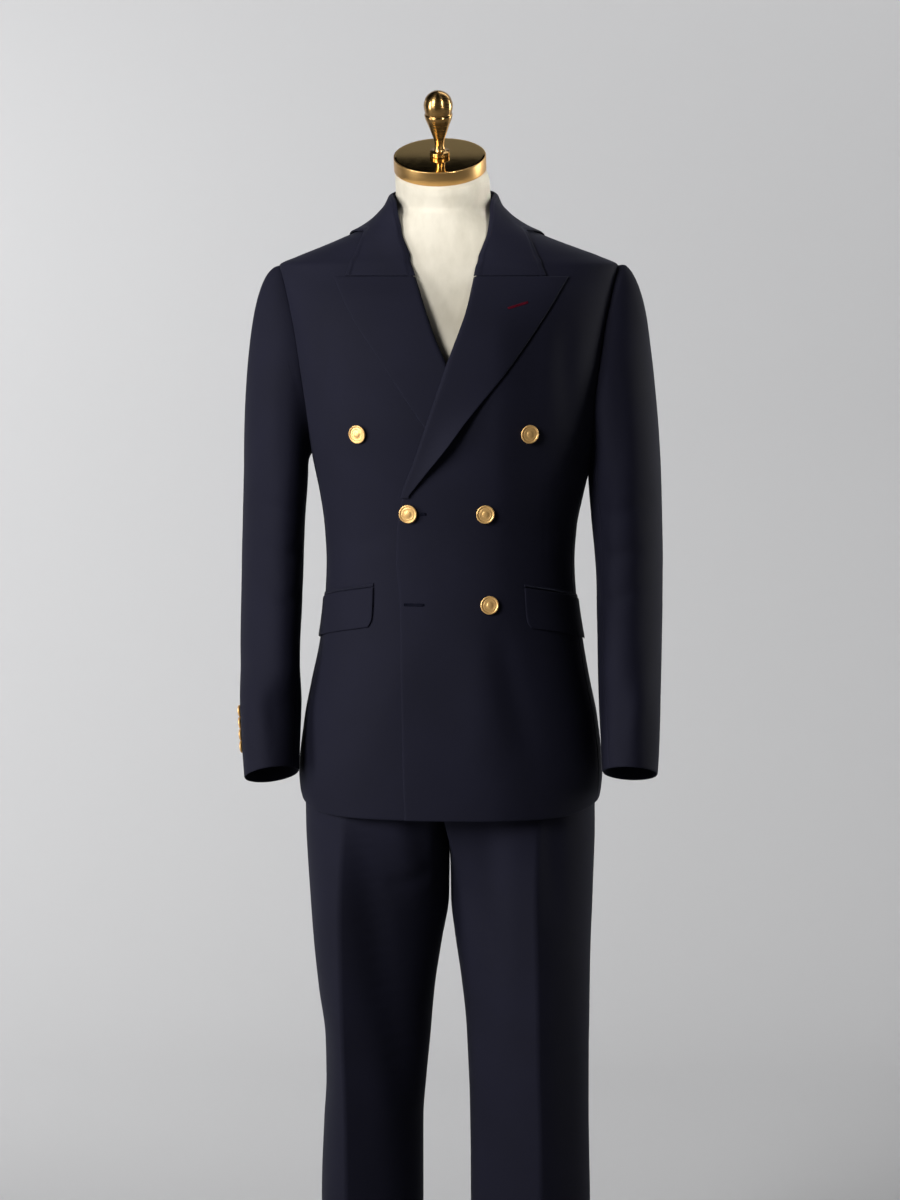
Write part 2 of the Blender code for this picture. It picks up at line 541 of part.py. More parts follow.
def sleeve(angle, v, side):
    """A sleeve, the right one mirrored: v is 0 at the cuff, 1 at the top ring and 2 at the armhole.

    The angle starts at the outer side and the front is at +90 degrees.  Above the top ring each
    line is a Bezier curve to its point of the armhole, which leaves the body square to it.
    """
    angle, v = np.broadcast_arrays(np.asarray(angle, float), np.asarray(v, float))
    low = CUFF[side] + CUFF_FRONT_RISE * np.sin(angle) - CUFF_OUTER_DROP[side] * np.cos(angle)
    arm = sleeve_ring(angle, low + (SLEEVE_TOP_RING - low) * np.clip(v, -1, 1))
    arm[..., 0] += side * CUFF_SWAY * (1 - ease(arm[..., 2], 0.80, 1.00))
    reach = np.where(np.sin(angle) > 0, ARMHOLE_FRONT, ARMHOLE_BACK)
    place = np.radians(SHOULDER_SEAM - reach * np.sin(angle))
    height = ARMHOLE_MIDDLE + ARMHOLE_HALF * np.cos(angle)
    hole = raised(body, side * place, height, ARMHOLE_LIFT)
    leave = raised(body, side * place, height, ARMHOLE_LIFT + 0.001) - hole
    hole = hole * (side, 1, 1)
    leave = leave * (side, 1, 1)
    leave = leave / 0.001 + np.array([0, 0, -SLEEVE_DROOP]) * (1 - np.cos(angle))[..., None]
    leave[..., 2] = np.where(np.cos(angle) > 0.2, np.minimum(leave[..., 2], 0.25), leave[..., 2])
    leave /= np.linalg.norm(leave, axis=-1, keepdims=True)
    ring = sleeve_ring(angle, SLEEVE_TOP_RING + 0 * angle)
    length = np.linalg.norm(hole - ring, axis=-1, keepdims=True)
    t = np.clip(v - 1, 0, 1)[..., None]
    near_ring = ring + np.array([0, 0, SLEEVE_RISE[side]]) * length
    near_hole = hole + leave * length * SLEEVE_LEAVE[side]
    head = ((1 - t) ** 3 * ring + 3 * t * (1 - t) ** 2 * near_ring
            + 3 * t * t * (1 - t) * near_hole + t ** 3 * hole)
    return np.where(v[..., None] <= 1, arm, head)


def sleeve_half(name, side, start, end, columns):
    gap = np.degrees(SEAM / 2 / 0.05)
    angle = -np.radians(np.linspace(start + gap, end - gap, columns))[None, :]
    v = np.concatenate([np.linspace(0, 1, 10), np.linspace(1, 2, 8)[1:-1], [1.955, 1.9999]])[:, None]

    def around(minus_angle, v):
        return sleeve(-minus_angle, v, side)

    outer = raised(around, angle, v, 0.0)
    inner = raised(around, angle, v, -JACKET_CLOTH)
    mirror = np.array([side, 1, 1])
    wall(name, outer * mirror, inner * mirror)


# ---------------------------------------------------------------- trousers
def leg(u, z, table):
    """One leg's section: u = 0 at the inseam, CREASE_U at the front crease, 0.5 at the side seam."""
    side = np.where(u < 0.5, u, 1 - u)
    turn = np.where(side < CREASE_U, 90 * side / CREASE_U, 90 + 90 * (side - CREASE_U) / (0.5 - CREASE_U))
    turn = np.radians(turn)
    inner, crease, outer = (smooth(table, key, z) for key in ("inner", "crease", "outer"))
    x = np.where(turn < math.pi / 2, crease - (crease - inner) * np.cos(turn),
                 crease - (outer - crease) * np.cos(turn))
    depth = smooth(table, "half_depth", z) * np.sin(turn)
    ridge = CREASE_RIDGE * np.exp(-np.abs(turn - math.pi / 2) / math.radians(13))
    y = smooth(table, "centre_y", z) - np.where(u < 0.5, 1, -1) * (depth + ridge)
    return x, y


def seat(u, z):
    """The hips' section on the same u: RISE_U of it lies along the centre plane."""
    side = np.where(u < 0.5, u, 1 - u)
    turn = math.pi / 2 * np.clip((side - RISE_U) / (0.5 - RISE_U), 0, 1)
    turn = np.where(u < 0.5, turn, math.pi - turn)
    x, y = superellipse(turn, smooth(HIPS, "half", z), smooth(HIPS, "front", z),
                        smooth(HIPS, "back", z), HIPS_POWER)
    flat = np.clip(side / RISE_U, 0, 1)
    return np.maximum(x, 0.0008), y * flat


def lean(x, y, z):
    """The front of the crotch hangs a little to the right of the middle."""
    high = ease(z, 0.67, 0.79) * (1 - ease(z, 0.86, 0.96))
    return CROTCH_LEAN * high * np.clip(-y / 0.11, 0, 1) * (1 - ease(x, 0.02, 0.12))


def trouser(table, side):
    def surface(u, z):
        u, z = np.broadcast_arrays(np.asarray(u, float), np.asarray(z, float))
        parted = 1 - ease(z, *LEG_PARTS)
        leg_x, leg_y = leg(u, z, table)
        seat_x, seat_y = seat(u, z)
        x = np.maximum(seat_x + (leg_x - seat_x) * parted, 0.0008)
        y = seat_y + (leg_y - seat_y) * parted
        return np.stack([x + side * lean(x, y, z), y, z], -1)
    return surface


def trouser_panel(name, side, table, half, columns=9):
    """Front (half 0) or back (half 1) of one leg, from the hem to the waistband seam."""
    z = np.concatenate([np.linspace(TROUSER_HEM, 0.60, 9), np.linspace(0.60, CROTCH, 6)[1:],
                        np.linspace(CROTCH, WAIST_TOP - WAISTBAND - SEAM, 8)[1:]])[:, None]
    rise = RISE_U * ease(z, CROTCH - 0.001, RISE_BASE)
    gap = SEAM / 0.5
    share = np.linspace(0, 1, columns)[None, :]
    u = rise + gap + (0.5 - 2 * gap - rise) * share
    if half:
        u = 1 - u
    surface = trouser(table, side)
    outer = surface(u, z)
    inner = raised(surface, u, z, -TROUSER_CLOTH)
    x, y = inner[..., 0], inner[..., 1]
    inner[..., 0] = np.maximum(x, np.minimum(outer[..., 0], side * lean(x, y, z) + 0.002))
    mirror = np.array([side, 1, 1])
    wall(name, outer * mirror, inner * mirror)


def waistband():
    angle = np.radians(np.arange(0, 360, 11.25))[None, :]
    z = np.linspace(WAIST_TOP - WAISTBAND, WAIST_TOP, 3)[:, None]
    wall("waistband", raised(hips, angle, z, 0.0003), raised(hips, angle, z, -0.0019), ring=True)


# ---------------------------------------------------------------- dress form
def form_surface(angle, z):
    """The form's torso: inside the trousers below the waist and inside the jacket above it."""
    low = raised(hips, angle, z, -smooth(FORM_IN_TROUSERS, "inset", z))
    high = raised(body, angle, z, -smooth(FORM_IN_JACKET, "inset", z))
    blend = ease(z, 1.052, 1.13)[..., None]
    return low + (high - low) * blend


def form():
    """Torso rings, then a neck that ends in a slanted plane under the plate."""
    angle = np.radians(np.arange(0, 360, 15.0))[None, :]
    z = np.concatenate([np.linspace(FORM_BOTTOM, 1.05, 7), np.linspace(1.05, 1.40, 7)[1:],
                        [1.425, 1.440, 1.451, 1.464, 1.478, 1.492, 1.504]])[:, None] + 0 * angle
    rings = form_surface(angle + 0 * z, z)
    rings[0, :, 2] = FORM_BOTTOM
    tilt = math.tan(math.radians(PLATE_TILT))
    down = PLATE_THICK / math.cos(math.radians(PLATE_TILT)) + SEAM
    neck = []
    for share, radius, middle in zip(NECK["share"], NECK["radius"], NECK["middle"]):
        x = middle + radius * np.sin(angle)
        y = NECK_Y * (NECK_LEAN + (1 - NECK_LEAN) * share) - radius * np.cos(angle)
        top = PLATE_MIDDLE - down + (y - NECK_Y) * tilt
        neck.append(np.stack([x, y, NECK_FOOT + (top - NECK_FOOT) * share], -1))
    rings = np.concatenate([rings] + neck)
    rows, columns = rings.shape[:2]
    faces = [(i * columns + j, i * columns + (j + 1) % columns,
              (i + 1) * columns + (j + 1) % columns, (i + 1) * columns + j)
             for i in range(rows - 1) for j in range(columns)]
    faces.append(tuple(reversed(range(columns))))
    faces.append(tuple((rows - 1) * columns + j for j in range(columns)))
    solid("form_torso", rings.reshape(-1, 3), faces, "linen")


def stand():
    tilt = math.radians(PLATE_TILT)
    axis = (0, -math.sin(tilt), math.cos(tilt))
    middle = np.array([PLATE_X, NECK_Y, PLATE_MIDDLE])
    under = middle - np.array(axis) * PLATE_THICK
    turned("neck_plate", [(PLATE_RADIUS - 0.0010, 0), (PLATE_RADIUS, 0.0010),
                          (PLATE_RADIUS, PLATE_THICK - 0.0020), (PLATE_RADIUS - 0.0016, PLATE_THICK)],
           40, under, axis, "brass")
    turned("finial", list(zip(FINIAL["radius"], FINIAL["along"])), 16, middle, axis, "brass")
    turned("pole", [(POLE / 2, BASE_THICK + 0.0003), (POLE / 2, FORM_BOTTOM - 0.0003)], 20,
           (POLE_X, 0, 0), (0, 0, 1), "steel")
    turned("base", [(BASE / 2 - 0.002, 0), (BASE / 2, 0.002), (BASE / 2, BASE_THICK - 0.003),
                    (BASE / 2 - 0.003, BASE_THICK)], 40, (0, 0, 0), (0, 0, 1), "enamel")


# ---------------------------------------------------------------- buttons
def button(name, place, axis, width, sides):
    """Shank button: a small foot on the cloth, a flat back, a raised rim and a low boss."""
    r = width / 2
    back = [(0.28 * r, 0.0007), (0.28 * r, 0.0018), (0.93 * r, 0.0021), (r, 0.0030)]
    face = [(0.90 * r, 0.0042), (0.78 * r, 0.0037), (0.25 * r, 0.0040)]
    turned(name, back + face, sides, place, axis, "gold")


def buttons():
    for row in FRONT_BUTTONS:
        angle = angle_at(row["x"], row["z"])
        lift = over(row["x"], row["z"]) if row["over"] else 0.0
        place = raised(body, angle, row["z"], lift)
        ahead = raised(body, angle, row["z"], lift + 0.01)
        button(row["name"], place, ahead - place, BUTTON, 16)
    for side, hand in ((1, "left"), (-1, "right")):
        mirror = np.array([side, 1, 1])

        def around(minus_angle, v):
            return sleeve(-minus_angle, v, side)

        for i in range(4):
            v = (CUFF_BUTTON_UP + i * CUFF_BUTTON_STEP) / (SLEEVE_TOP_RING - CUFF[side])
            place = raised(around, CUFF_BUTTON_TURN[side], v, -0.0006)
            ahead = raised(around, CUFF_BUTTON_TURN[side], v, 0.01)
            button(f"cuff_button_{hand}_{i + 1}", place * mirror, (ahead - place) * mirror, CUFF_BUTTON, 10)


def build():
    for old in list(bpy.data.objects):
        bpy.data.objects.remove(old, do_unlink=True)
    flat = lambda x, z: 0.0 * x
    front("front_right", -1, RIGHT_EDGE, flat, 12)
    front("front_left", 1, LEFT_EDGE, over, 13)
    lapel("lapel_right", -1, RIGHT_EDGE, RIGHT_LAPEL, flat, 0.0)
    lapel("lapel_left", 1, LEFT_EDGE, LEFT_LAPEL, over, LAPEL_BOW)
    for side, hand in ((1, "left"), (-1, "right")):
        side_panel(f"side_{hand}", side)
        back(f"back_{hand}", side)
        sleeve_half(f"topsleeve_{hand}", side, HINDARM_SEAM[side], FOREARM_SEAM[side], 9)
        sleeve_half(f"undersleeve_{hand}", side, FOREARM_SEAM[side], HINDARM_SEAM[side] + 360, 8)
        flap(f"flap_{hand}", side, over if side > 0 else flat)
        table = LEFT_LEG if side > 0 else RIGHT_LEG
        trouser_panel(f"trouser_front_{hand}", side, table, 0)
        trouser_panel(f"trouser_back_{hand}", side, table, 1)
    collar()
    collar_stand()
    waistband()
    buttons()
    form()
    stand()


build()
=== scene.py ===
"""Looks of a double-breasted suit, jacket and trousers, on a limbless tailor's dress form."""
import math

import bpy
import numpy as np
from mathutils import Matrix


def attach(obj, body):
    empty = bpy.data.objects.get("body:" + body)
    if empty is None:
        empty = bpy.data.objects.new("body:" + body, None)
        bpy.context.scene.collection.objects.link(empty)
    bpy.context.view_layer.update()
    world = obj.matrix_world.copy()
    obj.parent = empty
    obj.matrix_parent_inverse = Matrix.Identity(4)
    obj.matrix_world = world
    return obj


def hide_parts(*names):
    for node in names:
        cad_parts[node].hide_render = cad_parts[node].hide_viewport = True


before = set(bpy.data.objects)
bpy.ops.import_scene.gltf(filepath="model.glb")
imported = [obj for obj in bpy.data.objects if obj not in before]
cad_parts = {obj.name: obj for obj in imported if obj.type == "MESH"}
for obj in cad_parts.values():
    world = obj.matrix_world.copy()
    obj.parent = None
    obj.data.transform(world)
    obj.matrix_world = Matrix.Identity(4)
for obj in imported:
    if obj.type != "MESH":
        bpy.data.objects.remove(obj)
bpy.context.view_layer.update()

# ---------------------------------------------------------------- camera
# A long lens from a little above the chest and a little to the wearer's left.
LOOK_AT = np.array([0.0, 0.0, 1.038])
DISTANCE = 4.5
AZIMUTH, ELEVATION = math.radians(4.0), math.radians(5.0)
LENS = 108.9
ahead = np.array([-math.sin(AZIMUTH) * math.cos(ELEVATION), math.cos(AZIMUTH) * math.cos(ELEVATION),
                  -math.sin(ELEVATION)])
camera = bpy.data.objects.new("camera", bpy.data.cameras.new("camera"))
camera.data.lens = LENS
camera.location = LOOK_AT - ahead * DISTANCE
camera.rotation_euler = (math.pi / 2 - ELEVATION, 0, AZIMUTH)
bpy.context.collection.objects.link(camera)
bpy.context.scene.camera = camera

# ---------------------------------------------------------------- studio
# A pale paper sweep: floor and wall in one sheet with a wide bend between them, lit softly.
PAPER = "#cccccd"
SWEEP_FRONT, SWEEP_BACK, SWEEP_BEND = -3.5, 3.2, 1.2
SWEEP_HALF, SWEEP_TOP = 6.0, 4.93


def linear(code):
    """sRGB hex colour as linear red, green, blue and alpha."""
    part = np.array([int(code[i:i + 2], 16) for i in (1, 3, 5)]) / 255
    return (*np.where(part <= 0.04045, part / 12.92, ((part + 0.055) / 1.055) ** 2.4), 1.0)


def add(tree, kind, inputs=None, **settings):
    """One shader node with its settings; each input is a value or the socket it is joined to."""
    made = tree.nodes.new("ShaderNode" + kind)
    for name, value in settings.items():
        setattr(made, name, value)
    for name, value in (inputs or {}).items():
        if isinstance(value, bpy.types.NodeSocket):
            tree.links.new(value, made.inputs[name])
        else:
            made.inputs[name].default_value = value
    return made


def surface_material(name, **shader):
    """An empty material with its Principled shader joined to the output."""
    made = bpy.data.materials.new(name)
    made.use_nodes = True
    tree = made.node_tree
    tree.nodes.clear()
    principled = add(tree, "BsdfPrincipled", {key.replace("_", " "): value for key, value in shader.items()})
    add(tree, "OutputMaterial", {"Surface": principled.outputs[0]})
    return made, tree, principled


def join(tree, shader, **sockets):
    """Joins sockets to the shader's inputs of those names."""
    for name, socket in sockets.items():
        tree.links.new(socket, shader.inputs[name.replace("_", " ")])


def rippled(tree, shader, scale, detail, strength, distance):
    """A fine noise as relief."""
    noise = add(tree, "TexNoise", {"Scale": scale, "Detail": detail,
                                   "Vector": add(tree, "TexCoord").outputs["Object"]})
    join(tree, shader, Normal=add(tree, "Bump", {"Strength": strength, "Distance": distance,
                                                 "Height": noise.outputs["Fac"]}).outputs[0])


def grid_faces(rows, columns, ring=False):
    """Quads of a grid of points, row after row; a ring also joins its last column to its first."""
    i = np.arange(rows - 1)[:, None]
    j = np.arange(columns if ring else columns - 1)[None, :]
    k = (j + 1) % columns
    a, b, c, d = np.broadcast_arrays(i * columns + j, i * columns + k, (i + 1) * columns + k,
                                     (i + 1) * columns + j)
    return np.stack([a, b, c, d], -1).reshape(-1, 4)


def mesh_object(name, points, quads, finish, uv=None, closed=True):
    """A smooth-shaded mesh; a closed one has its quads turned to face out."""
    points = np.asarray(points, float).reshape(-1, 3)
    if closed:
        a, b, c, d = (points[quads[:, i]] for i in range(4))
        if (a * (np.cross(b, c) + np.cross(c, d))).sum() < 0:
            quads = quads[:, ::-1]
    mesh = bpy.data.meshes.new(name)
    mesh.vertices.add(len(points))
    mesh.vertices.foreach_set("co", points.ravel())
    mesh.loops.add(quads.size)
    mesh.loops.foreach_set("vertex_index", quads.ravel())
    mesh.polygons.add(len(quads))
    mesh.polygons.foreach_set("loop_start", np.arange(len(quads)) * 4)
    if uv is not None:
        mesh.uv_layers.new(name="cloth").data.foreach_set("uv", np.asarray(uv)[quads.ravel()].ravel())
    mesh.update(calc_edges=True)
    mesh.validate()
    mesh.shade_smooth()
    mesh.materials.append(finish)
    made = bpy.data.objects.new(name, mesh)
    bpy.context.collection.objects.link(made)
    return made


paper, tree, shader = surface_material("matt_paper", Roughness=0.9, Base_Color=linear(PAPER))
rippled(tree, shader, scale=400.0, detail=2.0, strength=0.05, distance=0.001)
# Seen from behind, the paper is clear, so that the wall never stands before the suit.
clear = add(tree, "MixShader", {0: add(tree, "NewGeometry").outputs["Backfacing"], 1: shader.outputs[0],
                                2: add(tree, "BsdfTransparent").outputs[0]})
tree.links.new(clear.outputs[0], tree.nodes["Material Output"].inputs["Surface"])
bend = np.linspace(0, math.pi / 2, 24)
line = np.concatenate([[[SWEEP_FRONT, 0.0]],
                       np.stack([SWEEP_BACK - SWEEP_BEND + SWEEP_BEND * np.sin(bend),
                                 SWEEP_BEND - SWEEP_BEND * np.cos(bend)], -1), [[SWEEP_BACK, SWEEP_TOP]]])
across = np.linspace(SWEEP_HALF, -SWEEP_HALF, 3)[None, :]
sweep = np.stack([across + 0 * line[:, :1], line[:, :1] + 0 * across, line[:, 1:] - 0.0005 + 0 * across], -1)
mesh_object("sweep", sweep, grid_faces(len(line), 3)[:, ::-1], paper, closed=False)

# Softboxes: the key high on the wearer's right and a long strip beside it, a strip behind the
# left shoulder, a snoot on the neck, and washes that light the paper and not the suit.
LIGHTS = (
    dict(name="key", at=(-2.05, -2.85, 2.45), aim=(0.0, 0.0, 1.52), size=(1.2, 1.5), spread=80, watts=26.0),
    dict(name="strip", at=(-2.7, -1.3, 1.25), aim=(-0.2, 0.0, 1.20), size=(0.6, 1.4), spread=100, watts=16.0),
    dict(name="edge", at=(2.2, 0.95, 1.50), aim=(0.2, 0.0, 1.36), size=(0.5, 1.0), spread=60, watts=3.6),
    dict(name="snoot", at=(1.6, -2.3, 2.2), aim=(0.03, -0.04, 1.56), size=(0.1, 0.1), spread=7, watts=0.11),
    dict(name="wash", at=(-2.2, 1.4, 1.7), aim=(-0.9, 3.2, 1.30), size=(1.8, 1.4), spread=180, watts=46.5),
    dict(name="wash_low", at=(1.4, 1.4, 3.6), aim=(0.6, 3.2, 0.8), size=(3.0, 1.0), spread=180, watts=30.0),
    dict(name="wash_high", at=(0.0, 1.8, 3.3), aim=(0.0, 3.2, 4.4), size=(2.0, 0.6), spread=180, watts=8.0),
)
for row in LIGHTS:
    lamp = bpy.data.lights.new(row["name"], "AREA")
    lamp.shape = "RECTANGLE"
    lamp.size, lamp.size_y = row["size"]
    lamp.energy, lamp.spread = row["watts"], math.radians(row["spread"])
    stand = bpy.data.objects.new(row["name"], lamp)
    stand.location = row["at"]
    towards = np.array(row["aim"]) - np.array(row["at"])
    flat = math.hypot(towards[0], towards[1])
    stand.rotation_euler = (math.atan2(flat, -towards[2]), 0,
                            math.atan2(towards[1], towards[0]) - math.pi / 2)
    bpy.context.collection.objects.link(stand)

# The room: a pale band at the height of the lights, dim below it and a black ceiling above.
world = bpy.data.worlds.new("studio")
world.use_nodes = True
tree = world.node_tree
tree.nodes.clear()
aloft = add(tree, "SeparateXYZ", {"Vector": add(tree, "TexCoord").outputs["Generated"]}).outputs["Z"]
room = add(tree, "ValToRGB", {"Fac": add(tree, "MapRange", {"Value": aloft, "From Min": -1.0}).outputs[0]})
ROOM_LIGHT = 0.15
STOPS = ((0.0, "#6a6a6a"), (0.50, "#b9bbc0"), (0.66, "#cfd2d8"), (0.76, "#3a3b3d"), (1.0, "#141414"))
while len(room.color_ramp.elements) < len(STOPS):
    room.color_ramp.elements.new(1.0)
for element, (at, code) in zip(room.color_ramp.elements, STOPS):
    element.position, element.color = at, linear(code)
sky = add(tree, "Background", {"Color": room.outputs[0], "Strength": ROOM_LIGHT})
add(tree, "OutputWorld", {"Surface": sky.outputs[0]})
bpy.context.scene.world = world
bpy.context.scene.view_settings.view_transform = "Standard"

# ---------------------------------------------------------------- base and pole
# A round steel plate in black enamel and a satin steel tube that runs up one leg into the form.
BASE_RADIUS, BASE_THICK = 0.200, 0.012
POLE_X, POLE_RADIUS = -0.098, 0.0125
FORM_BOTTOM = 0.852


def turned(name, profile, finish, middle=(0, 0, 0), axis=(0, 0, 1), sides=96):
    """A solid of revolution, closed at both ends: the profile's rows are a radius and a height.

    Ring i is middle + axis * height + radius * (cos a * across + sin a * third).
    """
    axis = np.asarray(axis, float) / np.linalg.norm(axis)
    across = np.cross(axis, (0, 0, 1) if abs(axis[2]) < 0.9 else (0, 1, 0))
    across /= np.linalg.norm(across)
    third = np.cross(axis, across)
    radius, height = np.asarray(profile, float).T
    radius = np.concatenate([[1e-6], radius, [1e-6]])
    height = np.concatenate([height[:1], height, height[-1:]])
    turn = np.arange(sides) * math.tau / sides
    spoke = np.cos(turn)[:, None] * across + np.sin(turn)[:, None] * third
    points = (np.asarray(middle) + height[:, None, None] * axis + radius[:, None, None] * spoke[None])
    return mesh_object(name, points, grid_faces(len(radius), sides, ring=True), finish)


def settle(piece, slot, *nodes):
    """The piece rides on the one body and stands for its CAD nodes."""
    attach(piece, "root")
    if nodes:
        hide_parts(*nodes)
    return piece


def rounded(corners, radius, steps=5):
    """A profile with its inner corners rounded: each is a quadratic curve cut in by the radius."""
    corners = [np.asarray(c, float) for c in corners]
    out = [corners[0]]
    for before, corner, after in zip(corners[:-2], corners[1:-1], corners[2:]):
        back, on = before - corner, after - corner
        start = corner + back * min(0.45, radius / max(np.linalg.norm(back), 1e-9))
        end = corner + on * min(0.45, radius / max(np.linalg.norm(on), 1e-9))
        t = np.linspace(0, 1, steps)[:, None]
        out.extend((1 - t) ** 2 * start + 2 * t * (1 - t) * corner + t * t * end)
    return np.array(out + [corners[-1]])


enamel, tree, shader = surface_material("stoved_enamel", Base_Color=linear("#1b1b1c"), Roughness=0.35,
                                        Coat_Weight=0.3, Coat_Roughness=0.15)
rippled(tree, shader, scale=260.0, detail=1.0, strength=0.12, distance=0.0004)
base_profile = rounded([(BASE_RADIUS - 0.004, 0.0), (BASE_RADIUS, 0.0), (BASE_RADIUS, BASE_THICK),
                        (0.026, BASE_THICK + 0.0001)], 0.003)
settle(turned("base_plate", base_profile, enamel, sides=128), "enamel", "base")


def hazed(tree, shader, low, high, scale, detail, stretch=None):
    """Roughness that drifts between low and high with a noise, drawn out or in by the stretch."""
    place = add(tree, "TexCoord").outputs["Object"]
    if stretch:
        place = add(tree, "Mapping", {"Vector": place, "Scale": stretch}).outputs[0]
    noise = add(tree, "TexNoise", {"Scale": scale, "Detail": detail, "Vector": place})
    drift = add(tree, "MapRange", {"Value": noise.outputs["Fac"], "To Min": low, "To Max": high})
    join(tree, shader, Roughness=drift.outputs[0])


steel, tree, shader = surface_material("satin_steel", Base_Color=linear("#b9babb"), Metallic=1.0,
                                       Roughness=0.3)
hazed(tree, shader, 0.24, 0.42, scale=60.0, detail=3.0, stretch=(40, 40, 0.6))
pole_profile = rounded([(POLE_RADIUS, BASE_THICK + 0.0003), (POLE_RADIUS, 0.5),
                        (POLE_RADIUS, FORM_BOTTOM - 0.0003)], 0.001)
settle(turned("pole_tube", pole_profile, steel, middle=(POLE_X, 0, 0), sides=48), "steel", "pole")
collar_profile = rounded([(POLE_RADIUS + 0.0004, BASE_THICK + 0.0002), (0.024, BASE_THICK + 0.0002),
                          (0.024, BASE_THICK + 0.010), (POLE_RADIUS + 0.0004, BASE_THICK + 0.014)], 0.002)
settle(turned("pole_foot", collar_profile, steel, middle=(POLE_X, 0, 0), sides=48), "steel")

# ---------------------------------------------------------------- cloth surfaces
# The jacket's body is a stack of superellipses; every piece of the jacket is a part of it.
BODY = dict(
    height=(0.770, 0.792, 0.805, 0.825, 0.890, 0.940, 0.985, 1.045, 1.088, 1.130, 1.170, 1.210, 1.260,
            1.320, 1.370, 1.410, 1.438, 1.451, 1.4625, 1.473, 1.484, 1.498, 1.511, 1.525, 1.540, 1.570),
    half=(0.1795, 0.1842, 0.1870, 0.1885, 0.1822, 0.1725, 0.1637, 0.1555, 0.1535, 0.1560, 0.1627, 0.1715,
          0.180, 0.190, 0.197, 0.203, 0.207, 0.2085, 0.1855, 0.158, 0.130, 0.0975, 0.0785, 0.0665,
          0.0620, 0.0610),
    middle=(0.0015, 0.0012, 0.001, 0.001, 0.0012, 0.001, 0.0018, 0.001, 0.0007, 0.001, 0.0023, 0.003, 0.003,
            0.002, 0.001, 0, -0.001, -0.002, -0.002, -0.003, -0.0045, -0.006, -0.007, -0.0075,
            -0.0075, -0.0075),
    front=(0.131, 0.131, 0.131, 0.131, 0.129, 0.126, 0.123, 0.119, 0.118, 0.119, 0.122, 0.126, 0.131,
           0.131, 0.123, 0.109, 0.093, 0.086, 0.0815, 0.079, 0.0775, 0.077, 0.079, 0.083, 0.085, 0.085),
    back=(0.138, 0.138, 0.138, 0.138, 0.136, 0.130, 0.122, 0.110, 0.104, 0.104, 0.107, 0.112, 0.117,
          0.121, 0.120, 0.115, 0.107, 0.102, 0.096, 0.090, 0.083, 0.075, 0.066, 0.058, 0.053, 0.050),
    power=(2.35, 2.35, 2.35, 2.35, 2.3, 2.3, 2.25, 2.2, 2.2, 2.2, 2.25, 2.3, 2.35,
           2.35, 2.3, 2.2, 2.1, 2.08, 2.08, 2.12, 2.15, 2.2, 2.3, 2.4, 2.4, 2.4),
)
HIPS_POWER = 2.15
HIPS = dict(
    height=(0.640, 0.700, 0.760, 0.800, 0.860, 0.900, 0.950, 1.000, 1.050, 1.070),
    half=(0.172, 0.1770, 0.1800, 0.1800, 0.1765, 0.1700, 0.1590, 0.1460, 0.1400, 0.1395),
    front=(0.102, 0.106, 0.112, 0.115, 0.116, 0.113, 0.108, 0.103, 0.100, 0.100),
    back=(0.106, 0.112, 0.120, 0.126, 0.129, 0.128, 0.121, 0.108, 0.098, 0.096),
)


def smooth(table, name, at, key="height"):
    """Monotone cubic through one column of a table."""
    xs, ys = np.array(table[key], float), np.array(table[name], float)
    at = np.clip(np.asarray(at, float), xs[0], xs[-1])
    step = np.diff(xs)
    slope = np.diff(ys) / step
    tangent = np.zeros_like(ys)
    same = slope[:-1] * slope[1:] > 0
    before, after = slope[:-1][same], slope[1:][same]
    tangent[1:-1][same] = 2 * before * after / (before + after)
    tangent[0], tangent[-1] = slope[0], slope[-1]
    i = np.clip(np.searchsorted(xs, at) - 1, 0, len(step) - 1)
    t = (at - xs[i]) / step[i]
    return ((1 + 2 * t) * (1 - t) ** 2 * ys[i] + t * (1 - t) ** 2 * step[i] * tangent[i]
            + t * t * (3 - 2 * t) * ys[i + 1] + t * t * (t - 1) * step[i] * tangent[i + 1])


def ease(value, start, end):
    """0 before start, 1 after end, smooth between."""
    t = np.clip((np.asarray(value, float) - start) / (end - start), 0, 1)
    return t * t * (3 - 2 * t)


def superellipse(angle, half, front, back, power):
    """x and y of a level section; the angle runs from the centre front to the +X side."""
    sine, cosine = np.sin(angle), np.cos(angle)
    depth = np.where(cosine > 0, front, back)
    x = half * np.sign(sine) * np.abs(sine) ** (2 / power)
    y = -depth * np.sign(cosine) * np.abs(cosine) ** (2 / power)
    return x, y


def body(angle, z):
    """Outer surface of the jacket's body."""
    x, y = superellipse(angle, *(smooth(BODY, key, z) for key in ("half", "front", "back", "power")))
    return np.stack([x + smooth(BODY, "middle", z), y, z + 0 * angle], -1)


def hips(angle, z):
    """Outer surface of the trousers' seat, before it parts into legs."""
    x, y = superellipse(angle, *(smooth(HIPS, key, z) for key in ("half", "front", "back")), HIPS_POWER)
    return np.stack([x, y, z + 0 * angle], -1)


def normal(surface, u, v):
    """Unit normal: the cross product of the surface's differences along u and along v."""
    tiny = 1e-4
    out = np.cross(surface(u + tiny, v) - surface(u - tiny, v), surface(u, v + tiny) - surface(u, v - tiny))
    return out / np.maximum(np.linalg.norm(out, axis=-1, keepdims=True), 1e-12)


def raised(surface, u, v, height):
    """A surface's point moved out along its normal."""
    u, v, height = np.broadcast_arrays(np.asarray(u, float), np.asarray(v, float), height)
    return surface(u, v) + normal(surface, u, v) * height[..., None]


